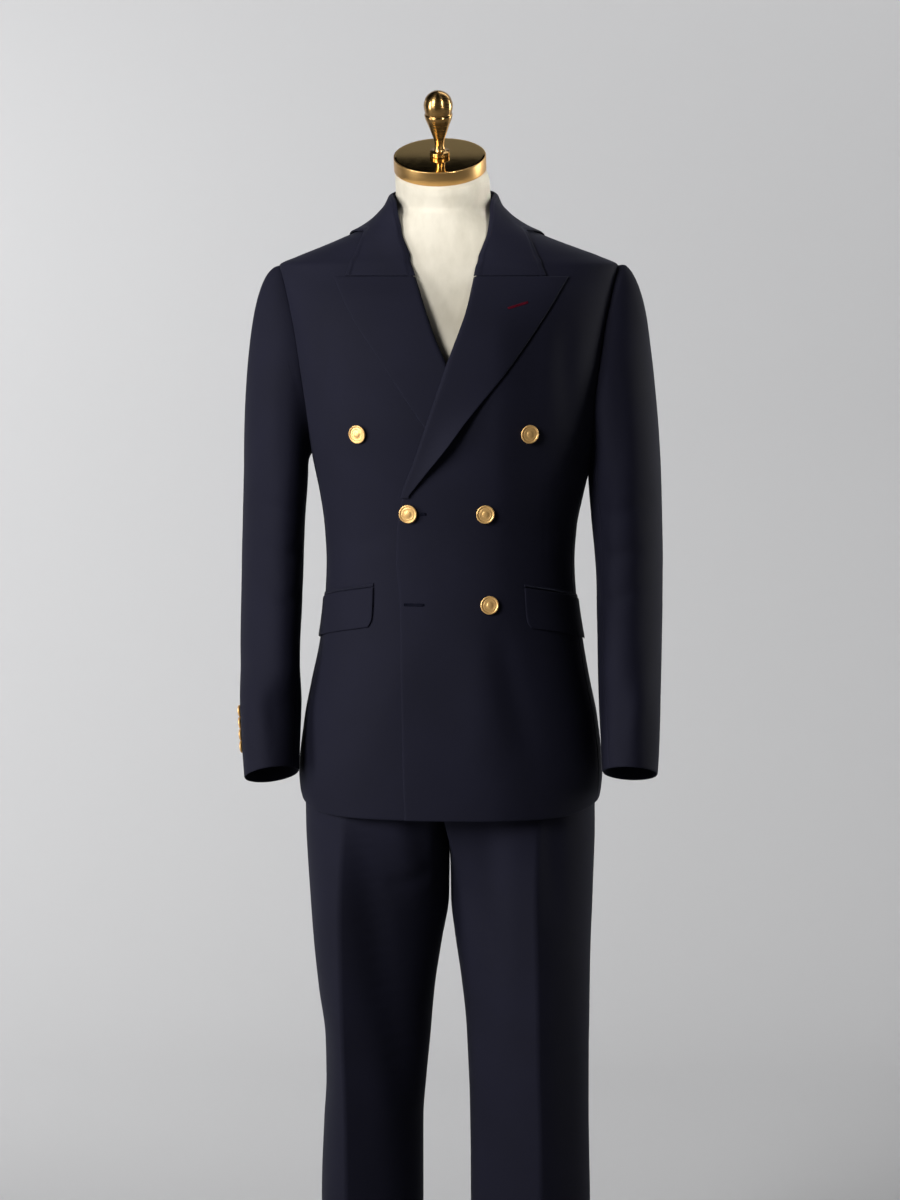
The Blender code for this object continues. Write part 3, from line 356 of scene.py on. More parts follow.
# ---------------------------------------------------------------- dress form
# A hard torso under tight cream linen, ending in a neck cut off at a slant.
FORM_IN_JACKET = dict(
    height=(1.050, 1.100, 1.250, 1.380, 1.430, 1.452, 1.490, 1.500, 1.520),
    inset=(0.012, 0.012, 0.014, 0.014, 0.009, 0.0029, 0.0029, 0.005, 0.009),
)
FORM_IN_TROUSERS = dict(
    height=(0.850, 0.900, 0.960, 1.005, 1.020, 1.050, 1.080),
    inset=(0.014, 0.014, 0.012, 0.0060, 0.0028, 0.0028, 0.0035),
)
NECK = dict(
    share=(0.12, 0.35, 0.75, 1.0),
    radius=(0.0632, 0.0580, 0.0576, 0.0556),
    middle=(-0.0070, -0.0070, -0.0078, -0.0098),
)
NECK_FOOT, NECK_Y, NECK_LEAN = 1.508, -0.022, 0.4
PLATE_TILT = math.radians(24.0)
PLATE_X, PLATE_MIDDLE, PLATE_THICK, PLATE_RADIUS = -0.0110, 1.5850, 0.018, 0.0566
THREAD = 0.0011              # linen threads, drawn twice as coarse so that they show

linen, tree, shader = surface_material("cream_linen", Roughness=0.9, Sheen_Weight=0.15, Sheen_Roughness=0.5)
place = add(tree, "TexCoord").outputs["Object"]
WAVE = math.tau / 20         # period of a wave texture of scale 1
weft = add(tree, "TexWave", {"Vector": place, "Scale": WAVE / THREAD, "Distortion": 1.2, "Detail": 1.0},
           bands_direction="Z")
warp = add(tree, "TexWave", {"Vector": place, "Scale": WAVE / THREAD, "Distortion": 1.2, "Detail": 1.0},
           bands_direction="X")
weave = add(tree, "Math", {0: weft.outputs["Fac"], 1: warp.outputs["Fac"]}, operation="MAXIMUM")
slub = add(tree, "TexNoise", {"Scale": 26.0, "Detail": 5.0, "Roughness": 0.6, "Vector": add(tree, "Mapping", {
    "Vector": place, "Scale": (1, 1, 0.45)}).outputs[0]})
tone = add(tree, "Mix", {"Factor": add(tree, "MapRange", {
    "Value": slub.outputs["Fac"], "From Min": 0.35, "From Max": 0.65}).outputs[0],
    6: linear("#bdb6a5"), 7: linear("#d0c9b9")}, data_type="RGBA")
worn = add(tree, "TexNoise", {"Scale": 9.0, "Detail": 3.0, "Vector": place})
aged = add(tree, "Mix", {"Factor": add(tree, "MapRange", {
    "Value": worn.outputs["Fac"], "From Min": 0.52, "From Max": 0.75, "To Max": 0.5}).outputs[0],
    6: tone.outputs[2], 7: linear("#b9ad94")}, data_type="RGBA")
join(tree, shader, Base_Color=aged.outputs[2],
     Normal=add(tree, "Bump", {"Strength": 0.30, "Distance": 0.0003, "Height": weave.outputs[0]}).outputs[0])

angle = np.radians(np.arange(0, 360, 3.0))[None, :]
z = np.concatenate([np.linspace(FORM_BOTTOM, 1.40, 70), np.linspace(1.40, 1.504, 22)[1:]])[:, None]
z = z + 0 * angle
low = raised(hips, angle, z, -smooth(FORM_IN_TROUSERS, "inset", z))
high = raised(body, angle, z, -smooth(FORM_IN_JACKET, "inset", z))
torso = low + (high - low) * ease(z, 1.052, 1.13)[..., None]
torso[0, :, 2] = FORM_BOTTOM
down = PLATE_THICK / math.cos(PLATE_TILT) + 0.0003
neck = []
for share in np.linspace(NECK["share"][0], 1.0, 18):
    radius, middle = (smooth(NECK, key, share, key="share") for key in ("radius", "middle"))
    x = middle + radius * np.sin(angle)
    y = NECK_Y * (NECK_LEAN + (1 - NECK_LEAN) * share) - radius * np.cos(angle)
    top = PLATE_MIDDLE - down + (y - NECK_Y) * math.tan(PLATE_TILT)
    neck.append(np.stack([x, y, NECK_FOOT + (top - NECK_FOOT) * share], -1))
torso = np.concatenate([torso] + neck)
for end in (0, -1):
    hub = torso[end].mean(0) + 0 * torso[end]
    torso = np.insert(torso, 0 if end == 0 else len(torso), hub + (torso[end] - hub) * 1e-4, axis=0)
cover = mesh_object("form_cover", torso, grid_faces(*torso.shape[:2], ring=True), linen)
settle(cover, "linen", "form_torso")

# ---------------------------------------------------------------- neck plate and finial
# Turned brass: the plate's top is polished to a mirror, the finial keeps a fine lathe finish and
# the plate's rim is satin.
tilted = (0, -math.sin(PLATE_TILT), math.cos(PLATE_TILT))
plate_middle = np.array([PLATE_X, NECK_Y, PLATE_MIDDLE])
under_plate = plate_middle - np.array(tilted) * PLATE_THICK

polished, tree, shader = surface_material("polished_brass", Base_Color=linear("#efc97e"), Metallic=1.0,
                                          Roughness=0.03)
hazed(tree, shader, 0.02, 0.045, scale=90.0, detail=5.0)
lathed, tree, shader = surface_material("lathed_brass", Base_Color=linear("#b8925a"), Metallic=1.0,
                                        Roughness=0.26, Anisotropic=0.8, Anisotropic_Rotation=0.25)
spoke = add(tree, "VectorMath", {0: add(tree, "TexCoord").outputs["Object"], 1: tuple(plate_middle)},
            operation="SUBTRACT")
around = add(tree, "VectorMath", {0: tilted, 1: spoke.outputs[0]}, operation="CROSS_PRODUCT")
join(tree, shader, Tangent=add(tree, "VectorMath", {0: around.outputs[0]}, operation="NORMALIZE").outputs[0])
hazed(tree, shader, 0.20, 0.32, scale=60.0, detail=4.0, stretch=(1, 1, 24))
satin, tree, shader = surface_material("satin_brass", Base_Color=linear("#c49c62"), Metallic=1.0,
                                       Roughness=0.36)
hazed(tree, shader, 0.30, 0.44, scale=50.0, detail=4.0, stretch=(1, 1, 30))

EDGE_ROUND = 0.0012          # the rounding of the plate's edges; the polish starts inside it
rim = rounded([(0.030, 0.0), (PLATE_RADIUS, 0.0), (PLATE_RADIUS, PLATE_THICK),
               (PLATE_RADIUS - 0.004, PLATE_THICK)], EDGE_ROUND)
plate = turned("cap_plate", rim, satin, middle=under_plate, axis=tilted, sides=160)
plate.data.materials.append(polished)
faces = plate.data.polygons
centres = np.array([face.center for face in faces]) - under_plate
heights = centres @ np.array(tilted)
radii = np.linalg.norm(centres - heights[:, None] * np.array(tilted), axis=1)
on_top = (heights > PLATE_THICK - 0.0008) & (radii < PLATE_RADIUS - EDGE_ROUND)
faces.foreach_set("material_index", on_top.astype(int))
faces.foreach_set("use_smooth", radii > PLATE_RADIUS - 0.0038)
settle(plate, "brass", "neck_plate")

FINIAL = dict(
    along=(0.0003, 0.0058, 0.0070, 0.0150, 0.0200, 0.0290, 0.0395, 0.0500, 0.0530, 0.0546, 0.0566, 0.0650,
           0.0730, 0.0785, 0.0815, 0.0828),
    radius=(0.0122, 0.0122, 0.0070, 0.0058, 0.0064, 0.0094, 0.0131, 0.0168, 0.0172, 0.0158, 0.0166, 0.0178,
            0.0157, 0.0112, 0.0068, 0.0025),
)
# The foot is a plain turned step; above it the outline runs smooth, and the top closes as a dome.
FINIAL_FOOT_TOP, DOME_START = 0.0090, 0.0730
BALL_MIDDLE, BALL_RADIUS = 0.0650, 0.0178
foot = rounded([(0.0100, 0.0003), (0.0122, 0.0003), (0.0122, 0.0058), (0.0076, 0.0064),
                (0.0068, 0.0085)], 0.0007)
height = np.linspace(FINIAL_FOOT_TOP, DOME_START, 120)
knob = np.stack([smooth(FINIAL, "radius", height, key="along"), height], -1)
slope = np.arcsin((DOME_START - BALL_MIDDLE) / BALL_RADIUS)
slope = np.linspace(slope, math.pi / 2 - 0.02, 18)[1:]
dome = np.stack([BALL_RADIUS * np.cos(slope), BALL_MIDDLE + BALL_RADIUS * np.sin(slope)], -1)
finial = turned("finial_knob", np.concatenate([foot, knob, dome]), lathed, middle=plate_middle, axis=tilted)
settle(finial, "brass", "finial")

# ---------------------------------------------------------------- wool
# Fine worsted twill, navy: matt, with a faint sheen where it turns away.
NAVY_DARK, NAVY, NAVY_LIGHT = "#0e0e18", "#141424", "#19192b"
TWILL = 0.0013               # spacing of the twill's slant; the real 0.5 mm would not show
FIBRE = 0.0009


def wool_material(name):
    """Twill lines at 45 degrees on the cloth's own map, mottled by fibres and by slow changes of shade."""
    made, tree, shader = surface_material(name, Roughness=0.82, Specular_IOR_Level=0.16, Sheen_Weight=0.06,
                                          Sheen_Roughness=0.45, Sheen_Tint=linear("#8c93ab"))
    cloth = add(tree, "UVMap", uv_map="cloth").outputs[0]
    slant = add(tree, "Mapping", {"Vector": cloth, "Rotation": (0, 0, math.radians(45))}).outputs[0]
    line = add(tree, "TexWave", {"Vector": slant, "Scale": WAVE / TWILL, "Distortion": 0.6, "Detail": 1.0,
                                 "Detail Scale": 2.0}, bands_direction="X")
    fibre = add(tree, "TexNoise", {"Vector": cloth, "Scale": 1 / FIBRE, "Detail": 3.0})
    slow = add(tree, "TexNoise", {"Vector": cloth, "Scale": 9.0, "Detail": 2.0})
    mixed = add(tree, "Mix", {"Factor": add(tree, "MapRange", {
        "Value": fibre.outputs["Fac"], "From Min": 0.35, "From Max": 0.65}).outputs[0],
        6: linear(NAVY_DARK), 7: linear(NAVY)}, data_type="RGBA")
    aged = add(tree, "Mix", {"Factor": add(tree, "MapRange", {
        "Value": slow.outputs["Fac"], "From Min": 0.3, "From Max": 0.8, "To Max": 0.35}).outputs[0],
        6: mixed.outputs[2], 7: linear(NAVY_LIGHT)}, data_type="RGBA")
    height = add(tree, "Math", {0: line.outputs["Fac"], 1: fibre.outputs["Fac"]}, operation="ADD")
    join(tree, shader, Base_Color=aged.outputs[2], Normal=add(tree, "Bump", {
        "Strength": 0.25, "Distance": 0.0002, "Height": height.outputs[0]}).outputs[0])
    return made


wool = wool_material("worsted_twill")

# Every piece of cloth is a closed wall: an outer and an inner grid on one surface, drawn together
# at its edges, where the real cloth is turned under.
JACKET_CLOTH = 0.0018
TROUSER_CLOTH = 0.0014
SEAM = 0.0003
LAY = 0.0008
EDGE_TURN = 0.0007           # how far in from an edge the turning starts
EDGE_CLOSE = 0.82            # share of the thickness that is drawn in at the very edge


def shares(count, width):
    """0 to 1 in even steps, with three more close to each end for the turned edge."""
    close = np.array([0.0006, 0.0014, 0.0028]) / width
    even = np.linspace(0, 1, count)[1:-1].clip(close[-1] * 1.6, 1 - close[-1] * 1.6)
    return np.concatenate([[0], close, even, 1 - close[::-1], [1]])


def along(points, axis):
    """Length run so far along the rows or columns of a grid."""
    step = np.linalg.norm(np.diff(points, axis=axis), axis=-1)
    zero = np.zeros_like(np.take(step, [0], axis=axis))
    return np.cumsum(np.concatenate([zero, step], axis=axis), axis=axis)


def wall(name, surface, u, v, lift, thick, side=1, ring=False):
    """A closed wall of cloth: the surface's points moved out by lift, and in again by the thickness.

    Both faces close in on the middle one by EDGE_CLOSE * exp(-distance / EDGE_TURN) near each edge.
    """
    u, v, lift = np.broadcast_arrays(np.asarray(u, float), np.asarray(v, float), np.asarray(lift, float))
    points, out = surface(u, v), normal(surface, u, v)
    if side < 0:
        points, out = points * (-1, 1, 1), out * (-1, 1, 1)
    wide, long = along(points, 1), along(points, 0)
    near = np.exp(-long / EDGE_TURN) + np.exp(-(long[-1:] - long) / EDGE_TURN)
    if not ring:
        near = near + np.exp(-wide / EDGE_TURN) + np.exp(-(wide[:, -1:] - wide) / EDGE_TURN)
    half = thick / 2 * (1 - EDGE_CLOSE * np.clip(near, 0, 1))
    middle = points + out * (lift - thick / 2)[..., None]
    outer, inner = middle + out * half[..., None], middle - out * half[..., None]
    rows, columns = u.shape
    count = rows * columns
    outside = grid_faces(rows, columns, ring)
    rims = [np.stack([np.arange(columns - 1), np.arange(1, columns)], -1)]
    rims.append(rims[0][:, ::-1] + (rows - 1) * columns)
    if ring:
        closing = np.array([[columns - 1, 0]])
        rims = [np.concatenate([rims[0], closing]),
                np.concatenate([rims[1], closing[:, ::-1] + (rows - 1) * columns])]
    else:
        rise = np.arange(rows - 1) * columns
        rims.append(np.stack([rise + columns, rise], -1))
        rims.append(np.stack([rise + columns - 1, rise + 2 * columns - 1], -1))
    rim = np.concatenate(rims)
    quads = np.concatenate([outside, outside[:, ::-1] + count,
                            np.stack([rim[:, 1], rim[:, 0], rim[:, 0] + count, rim[:, 1] + count], -1)])
    uv = np.stack([wide - wide[:, [columns // 2]], long], -1).reshape(-1, 2)
    made = mesh_object(name, np.concatenate([outer.reshape(-1, 3), inner.reshape(-1, 3)]), quads, wool,
                       uv=np.concatenate([uv, uv]))
    made["wide"], made["long"] = float(wide[:, -1].max()), float(long[-1].max())
    across, up = np.diff(points, axis=1)[:-1], np.diff(points, axis=0)[:, :-1]
    made["area"] = float(np.linalg.norm(np.cross(across, up), axis=-1).sum())
    return made


def cut(piece, node):
    """The piece stands for its CAD node."""
    settle(piece, "wool", node)
    return piece


def strokes(x, z, rows):
    """Soft folds: each adds depth * bell(distance / width) along a quadratic curve, faded at its ends."""
    total = np.zeros(np.broadcast(x, z).shape)
    t = np.linspace(0, 1, 25)
    for row in rows:
        start, bend, end = (np.array(row[key])[:, None] for key in ("start", "bend", "end"))
        line = (1 - t) ** 2 * start + 2 * t * (1 - t) * bend + t * t * end
        away = (x[..., None] - line[0]) ** 2 + (z[..., None] - line[1]) ** 2
        nearest = np.argmin(away, -1)
        fade = np.sin(math.pi * t.clip(0.02, 0.98)) ** 0.7
        total += row["depth"] * fade[nearest] * np.exp(-away.min(-1) / row["width"] ** 2)
    return total


# ---------------------------------------------------------------- trousers
# Two fronts and two backs, pressed to a crease, on a curtained waistband that sits on the form.
WAIST_TOP, WAISTBAND = 1.050, 0.038
TROUSER_HEM = 0.032
CROTCH, RISE_BASE, RISE_U = 0.785, 0.845, 0.10
CROTCH_LEAN = -0.010
CREASE_U, CREASE_RIDGE = 0.28, 0.0035
CREASE_SHARP = 0.2           # share of the section that is straight from side to crease
PARTED_BELOW, WHOLE_ABOVE = 0.640, 0.860     # heights between which the seat turns into legs
CENTRE_GAP = 0.0008          # how far each leg stays from the middle
RIGHT_LEG = dict(
    height=(0.020, 0.150, 0.280, 0.386, 0.438, 0.490, 0.553, 0.610, 0.669, 0.727, 0.790, 0.900),
    inner=(0.039, 0.035, 0.034, 0.0335, 0.0295, 0.0245, 0.0190, 0.0105, 0.0012, 0.0008, 0.0008, 0.0008),
    crease=(0.112, 0.118, 0.124, 0.124, 0.125, 0.127, 0.129, 0.130, 0.131, 0.132, 0.132, 0.128),
    outer=(0.151, 0.159, 0.162, 0.158, 0.155, 0.156, 0.164, 0.170, 0.1745, 0.178, 0.180, 0.170),
    half_depth=(0.077, 0.080, 0.083, 0.087, 0.089, 0.091, 0.094, 0.098, 0.102, 0.107, 0.112, 0.114),
    centre_y=(0.016, 0.012, 0.006, 0.000, -0.003, -0.003, -0.001, 0.001, 0.003, 0.004, 0.005, 0.006),
)
LEFT_LEG = dict(
    height=(0.020, 0.150, 0.281, 0.338, 0.414, 0.477, 0.513, 0.570, 0.620, 0.669, 0.765, 0.900),
    inner=(0.034, 0.029, 0.0262, 0.0260, 0.0250, 0.0225, 0.0205, 0.0140, 0.0065, 0.0012, 0.0008, 0.0008),
    crease=(0.104, 0.112, 0.118, 0.118, 0.117, 0.115, 0.115, 0.114, 0.113, 0.112, 0.110, 0.108),
    outer=(0.157, 0.168, 0.176, 0.175, 0.174, 0.174, 0.1745, 0.175, 0.176, 0.178, 0.181, 0.170),
    half_depth=(0.074, 0.078, 0.081, 0.083, 0.086, 0.088, 0.090, 0.094, 0.098, 0.102, 0.109, 0.114),
    centre_y=(0.014, 0.010, 0.004, 0.002, -0.001, -0.003, -0.003, -0.001, 0.001, 0.003, 0.005, 0.006),
)
# Folds in the front view: x and z of a curve, its width, and how far it stands out (or sinks in).
RIGHT_FRONT_FOLDS = (
    dict(start=(-0.108, 0.790), bend=(-0.088, 0.640), end=(-0.048, 0.400), width=0.022, depth=-0.0060),
    dict(start=(-0.062, 0.800), bend=(-0.046, 0.740), end=(-0.030, 0.655), width=0.020, depth=0.0055),
    dict(start=(-0.085, 0.560), bend=(-0.075, 0.420), end=(-0.068, 0.250), width=0.020, depth=0.0030),
    dict(start=(-0.150, 0.640), bend=(-0.146, 0.500), end=(-0.150, 0.360), width=0.012, depth=-0.0020),
    dict(start=(-0.012, 0.720), bend=(-0.040, 0.690), end=(-0.075, 0.700), width=0.010, depth=-0.0028),
    dict(start=(-0.105, 0.150), bend=(-0.095, 0.100), end=(-0.060, 0.060), width=0.015, depth=-0.0030),
)
LEFT_FRONT_FOLDS = (
    dict(start=(0.050, 0.800), bend=(0.056, 0.700), end=(0.058, 0.560), width=0.016, depth=-0.0034),
    dict(start=(0.085, 0.800), bend=(0.080, 0.660), end=(0.082, 0.500), width=0.018, depth=0.0026),
    dict(start=(0.128, 0.810), bend=(0.130, 0.740), end=(0.136, 0.640), width=0.014, depth=-0.0040),
    dict(start=(0.150, 0.560), bend=(0.150, 0.440), end=(0.155, 0.300), width=0.016, depth=-0.0022),
    dict(start=(0.020, 0.700), bend=(0.045, 0.660), end=(0.060, 0.600), width=0.012, depth=-0.0022),
    dict(start=(0.105, 0.160), bend=(0.085, 0.110), end=(0.060, 0.080), width=0.014, depth=-0.0028),
)
BACK_FOLDS = (
    dict(start=(0.040, 0.760), bend=(0.085, 0.720), end=(0.145, 0.730), width=0.012, depth=-0.0036),
    dict(start=(0.030, 0.700), bend=(0.075, 0.650), end=(0.135, 0.655), width=0.014, depth=-0.0028),
    dict(start=(0.060, 0.640), bend=(0.070, 0.520), end=(0.100, 0.420), width=0.018, depth=-0.0034),
    dict(start=(0.130, 0.560), bend=(0.120, 0.480), end=(0.060, 0.440), width=0.014, depth=0.0026),
    dict(start=(0.040, 0.420), bend=(0.080, 0.380), end=(0.135, 0.390), width=0.012, depth=-0.0024),
    dict(start=(0.110, 0.180), bend=(0.085, 0.110), end=(0.050, 0.090), width=0.014, depth=-0.0030),
)


def leg(u, z, table):
    """One leg's section: u = 0 at the inseam, CREASE_U at the front crease, 0.5 at the side seam."""
    side = np.where(u < 0.5, u, 1 - u)
    turn = np.radians(np.where(side < CREASE_U, 90 * side / CREASE_U,
                               90 + 90 * (side - CREASE_U) / (0.5 - CREASE_U)))
    inner, crease, outer = (smooth(table, key, z) for key in ("inner", "crease", "outer"))
    x = np.where(turn < math.pi / 2, crease - (crease - inner) * np.cos(turn),
                 crease - (outer - crease) * np.cos(turn))
    depth = smooth(table, "half_depth", z) * (
        (1 - CREASE_SHARP) * np.sin(turn) + CREASE_SHARP * (1 - np.abs(np.cos(turn))))
    ridge = CREASE_RIDGE * np.exp(-np.abs(turn - math.pi / 2) / math.radians(13))
    return x, smooth(table, "centre_y", z) - np.where(u < 0.5, 1, -1) * (depth + ridge)


def seat(u, z):
    """The hips' section on the same u: RISE_U of it lies along the centre plane."""
    side = np.where(u < 0.5, u, 1 - u)
    turn = math.pi / 2 * np.clip((side - RISE_U) / (0.5 - RISE_U), 0, 1)
    turn = np.where(u < 0.5, turn, math.pi - turn)
    x, y = superellipse(turn, *(smooth(HIPS, key, z) for key in ("half", "front", "back")), HIPS_POWER)
    return np.maximum(x, CENTRE_GAP), y * np.clip(side / RISE_U, 0, 1)


def lean(x, y, z):
    """The front of the crotch hangs a little to the right of the middle."""
    high = ease(z, 0.67, 0.79) * (1 - ease(z, 0.86, 0.96))
    return CROTCH_LEAN * high * np.clip(-y / 0.11, 0, 1) * (1 - ease(x, 0.02, 0.12))


def trouser(table, side):
    def surface(u, z):
        """The leg's section blended into the seat's between two heights."""
        u, z = np.broadcast_arrays(np.asarray(u, float), np.asarray(z, float))
        parted = 1 - ease(z, PARTED_BELOW, WHOLE_ABOVE)
        leg_x, leg_y = leg(u, z, table)
        seat_x, seat_y = seat(u, z)
        x = np.maximum(seat_x + (leg_x - seat_x) * parted, CENTRE_GAP)
        y = seat_y + (leg_y - seat_y) * parted
        return np.stack([x + side * lean(x, y, z), y, z], -1)
    return surface


trouser_top = WAIST_TOP - WAISTBAND - SEAM
level = TROUSER_HEM + (trouser_top - TROUSER_HEM) * shares(230, trouser_top - TROUSER_HEM)
for side, hand, table, front_folds in ((1, "left", LEFT_LEG, LEFT_FRONT_FOLDS),
                                       (-1, "right", RIGHT_LEG, RIGHT_FRONT_FOLDS)):
    surface = trouser(table, side)
    for half, place, folds in ((0, "front", front_folds), (1, "back", BACK_FOLDS)):
        z = level[:, None]
        rise = RISE_U * ease(z, CROTCH - 0.001, RISE_BASE)
        share = shares(58, 0.24)[None, :]
        u = rise + SEAM / 0.5 + (0.5 - 2 * SEAM / 0.5 - rise) * share
        u = 1 - u if half else u
        points = surface(u, z)
        x = points[..., 0] * (side if half == 0 else 1)
        calm = ease(share, 0.0, 0.10) * (1 - ease(share, 0.90, 1.0)) * (1 - ease(z, 0.80, 0.86))
        lift = strokes(x, z + 0 * x, folds) * calm
        piece = wall(f"trouser_{place}_{hand}_cloth", surface, u, z, lift, TROUSER_CLOTH, side=side)
        cut(piece, f"trouser_{place}_{hand}")

angle = np.radians(np.arange(0, 360, 2.0))[None, :]
z = (WAIST_TOP - WAISTBAND + WAISTBAND * shares(12, WAISTBAND))[:, None]
piece = wall("waistband_cloth", hips, angle + 0 * z, z + 0 * angle, 0.0003, 0.0022, ring=True)
cut(piece, "waistband")

# ---------------------------------------------------------------- jacket body
# Fronts, side panels and backs, sewn edge to edge; the left front laps over the right one.
HEM, HEM_DROP = 0.793, 0.0125
SHOULDER_TIP, GORGE, NECK_SEAM = 1.451, 1.4372, 1.512
SIDE_JOIN, SHOULDER_SEAM = 1.2526, 90.0
ARMHOLE_MIDDLE, ARMHOLE_HALF = 1.3365, 0.1145
ARMHOLE_FRONT, ARMHOLE_BACK = 17.6, 22.0
SIDE_SEAM_FRONT, SIDE_SEAM_BACK = 78.0, 105.0
RIGHT_EDGE = dict(
    height=(0.770, 1.150, 1.215, 1.280, 1.334, 1.362, 1.4372),
    x=(0.052, 0.050, 0.035, 0.019, 0.002, -0.0105, -0.0378),
)
LEFT_EDGE = dict(
    height=(0.770, 0.977, 1.044, 1.099, 1.140, 1.172, 1.218, 1.265, 1.334, 1.354, 1.397, 1.4372),
    x=(-0.046, -0.051, -0.0525, -0.057, -0.0545, -0.048, -0.031, -0.015, 0.0085, 0.0160, 0.0300, 0.0378),
)
COLLAR = dict(
    station=(0.0, 0.06, 0.12, 0.18, 0.24, 0.31, 0.38, 0.46, 0.56, 0.70, 0.85, 1.0),
    right_roll=(9.4, 10.5, 12.4, 15.8, 21.1, 28.1, 36.2, 46.0, 57.5, 84.0, 131.0, 180.0),
    left_roll=(9.9, 10.9, 13.0, 17.2, 24.2, 34.0, 44.5, 55.8, 67.5, 91.0, 133.0, 180.0),
    roll_height=(1.4372, 1.4490, 1.4610, 1.4730, 1.4850, 1.4970, 1.5080, 1.5190, 1.5290, 1.5370, 1.5415,
                 1.5430),
    right_edge=(34.6, 33.5, 32.6, 33.5, 36.2, 39.7, 44.4, 50.3, 58.5, 88.0, 135.0, 180.0),
    left_edge=(35.2, 34.4, 33.6, 34.8, 37.3, 41.6, 47.6, 54.8, 63.5, 91.0, 136.0, 180.0),
    edge_height=(1.4374, 1.4440, 1.4510, 1.4580, 1.4650, 1.4725, 1.4800, 1.4865, 1.4910, 1.4895, 1.4790,
                 1.4720),
)
# Drape of the front: darts under the chest, the pull from the low button, the hollow by each arm.
FRONT_FOLDS = (
    dict(start=(0.064, 1.030), bend=(0.075, 0.950), end=(0.110, 0.850), width=0.018, depth=-0.0030),
    dict(start=(0.050, 1.010), bend=(0.045, 0.920), end=(0.050, 0.830), width=0.024, depth=0.0022),
    dict(start=(-0.148, 1.400), bend=(-0.140, 1.330), end=(-0.152, 1.250), width=0.014, depth=-0.0026),
    dict(start=(0.150, 1.400), bend=(0.142, 1.330), end=(0.154, 1.250), width=0.014, depth=-0.0026),
    dict(start=(-0.120, 1.225), bend=(-0.122, 1.150), end=(-0.118, 1.075), width=0.0016, depth=-0.0006),
    dict(start=(0.122, 1.225), bend=(0.124, 1.150), end=(0.120, 1.075), width=0.0016, depth=-0.0006),
    dict(start=(-0.060, 1.130), bend=(-0.090, 1.110), end=(-0.135, 1.120), width=0.014, depth=-0.0014),
    dict(start=(0.075, 1.135), bend=(0.100, 1.115), end=(0.140, 1.125), width=0.014, depth=-0.0014),
    dict(start=(-0.030, 1.000), bend=(-0.070, 0.930), end=(-0.095, 0.840), width=0.026, depth=0.0016),
)
BODY_BACK_FOLDS = (
    dict(start=(0.020, 1.120), bend=(0.060, 1.100), end=(0.125, 1.125), width=0.012, depth=-0.0026),
    dict(start=(0.030, 1.060), bend=(0.070, 1.045), end=(0.120, 1.060), width=0.011, depth=-0.0022),
    dict(start=(0.080, 1.400), bend=(0.100, 1.300), end=(0.090, 1.180), width=0.020, depth=0.0024),
    dict(start=(0.150, 1.400), bend=(0.145, 1.330), end=(0.150, 1.270), width=0.012, depth=-0.0030),
    dict(start=(0.060, 1.000), bend=(0.075, 0.920), end=(0.070, 0.830), width=0.024, depth=0.0020),
    dict(start=(0.015, 1.450), bend=(0.040, 1.442), end=(0.075, 1.450), width=0.008, depth=-0.0012),
)


def angle_at(x, z):
    """Angle round the body of a point of its front, seen at x."""
    x = x - smooth(BODY, "middle", z)
    share = np.clip(np.abs(x) / smooth(BODY, "half", z), 0, 1)
    return np.sign(x) * np.arcsin(share ** (smooth(BODY, "power", z) / 2))


def drape(x, z):
    """Folds of the front, which every layer that lies on it follows; none near the collar."""
    x, z = np.broadcast_arrays(np.asarray(x, float), np.asarray(z, float))
    calm = (1 - ease(z, 1.36, 1.42)) * (1 - ease(np.abs(x), 0.150, 0.185))
    return strokes(x, z, FRONT_FOLDS) * calm


def over(x, z):
    """How far the left front stands off the body where it lies over the right one."""
    both = (JACKET_CLOTH + LAY) * (1 + 1.3 * ease(z, 1.12, 1.19)) * (1 - ease(z, 1.350, 1.42))
    return drape(x, z) + both * (1 - ease(x, 0.060, 0.115))


def hem_height(angle, z):
    """Rows near the hem sink towards the centre front."""
    return z - HEM_DROP * (1 - ease(z, HEM, 0.90)) * ease(np.cos(angle), 0.0, 0.8)


def outer_limit(z, reach, side_seam, sign):
    """Angle of the side seam, armhole or shoulder seam at a height, in degrees."""
    rise = np.clip((z - ARMHOLE_MIDDLE) / ARMHOLE_HALF, -1, 1)
    arm = SHOULDER_SEAM + sign * reach * np.sqrt(1 - rise ** 2)
    limit = np.where(z <= SIDE_JOIN + 1e-9, side_seam, np.where(z < SHOULDER_TIP, arm, SHOULDER_SEAM))
    return limit + sign * np.degrees(SEAM / 2 / smooth(BODY, "half", z)) * 1.6


def edge_angle(edge, side, z):
    """Angle of a front's edge: its own table below the gorge, the collar's roll above it."""
    below = angle_at(smooth(edge, "x", z), z)
    roll = "left_roll" if side > 0 else "right_roll"
    return np.where(z < GORGE, below, side * np.radians(smooth(COLLAR, roll, z, key="roll_height")))


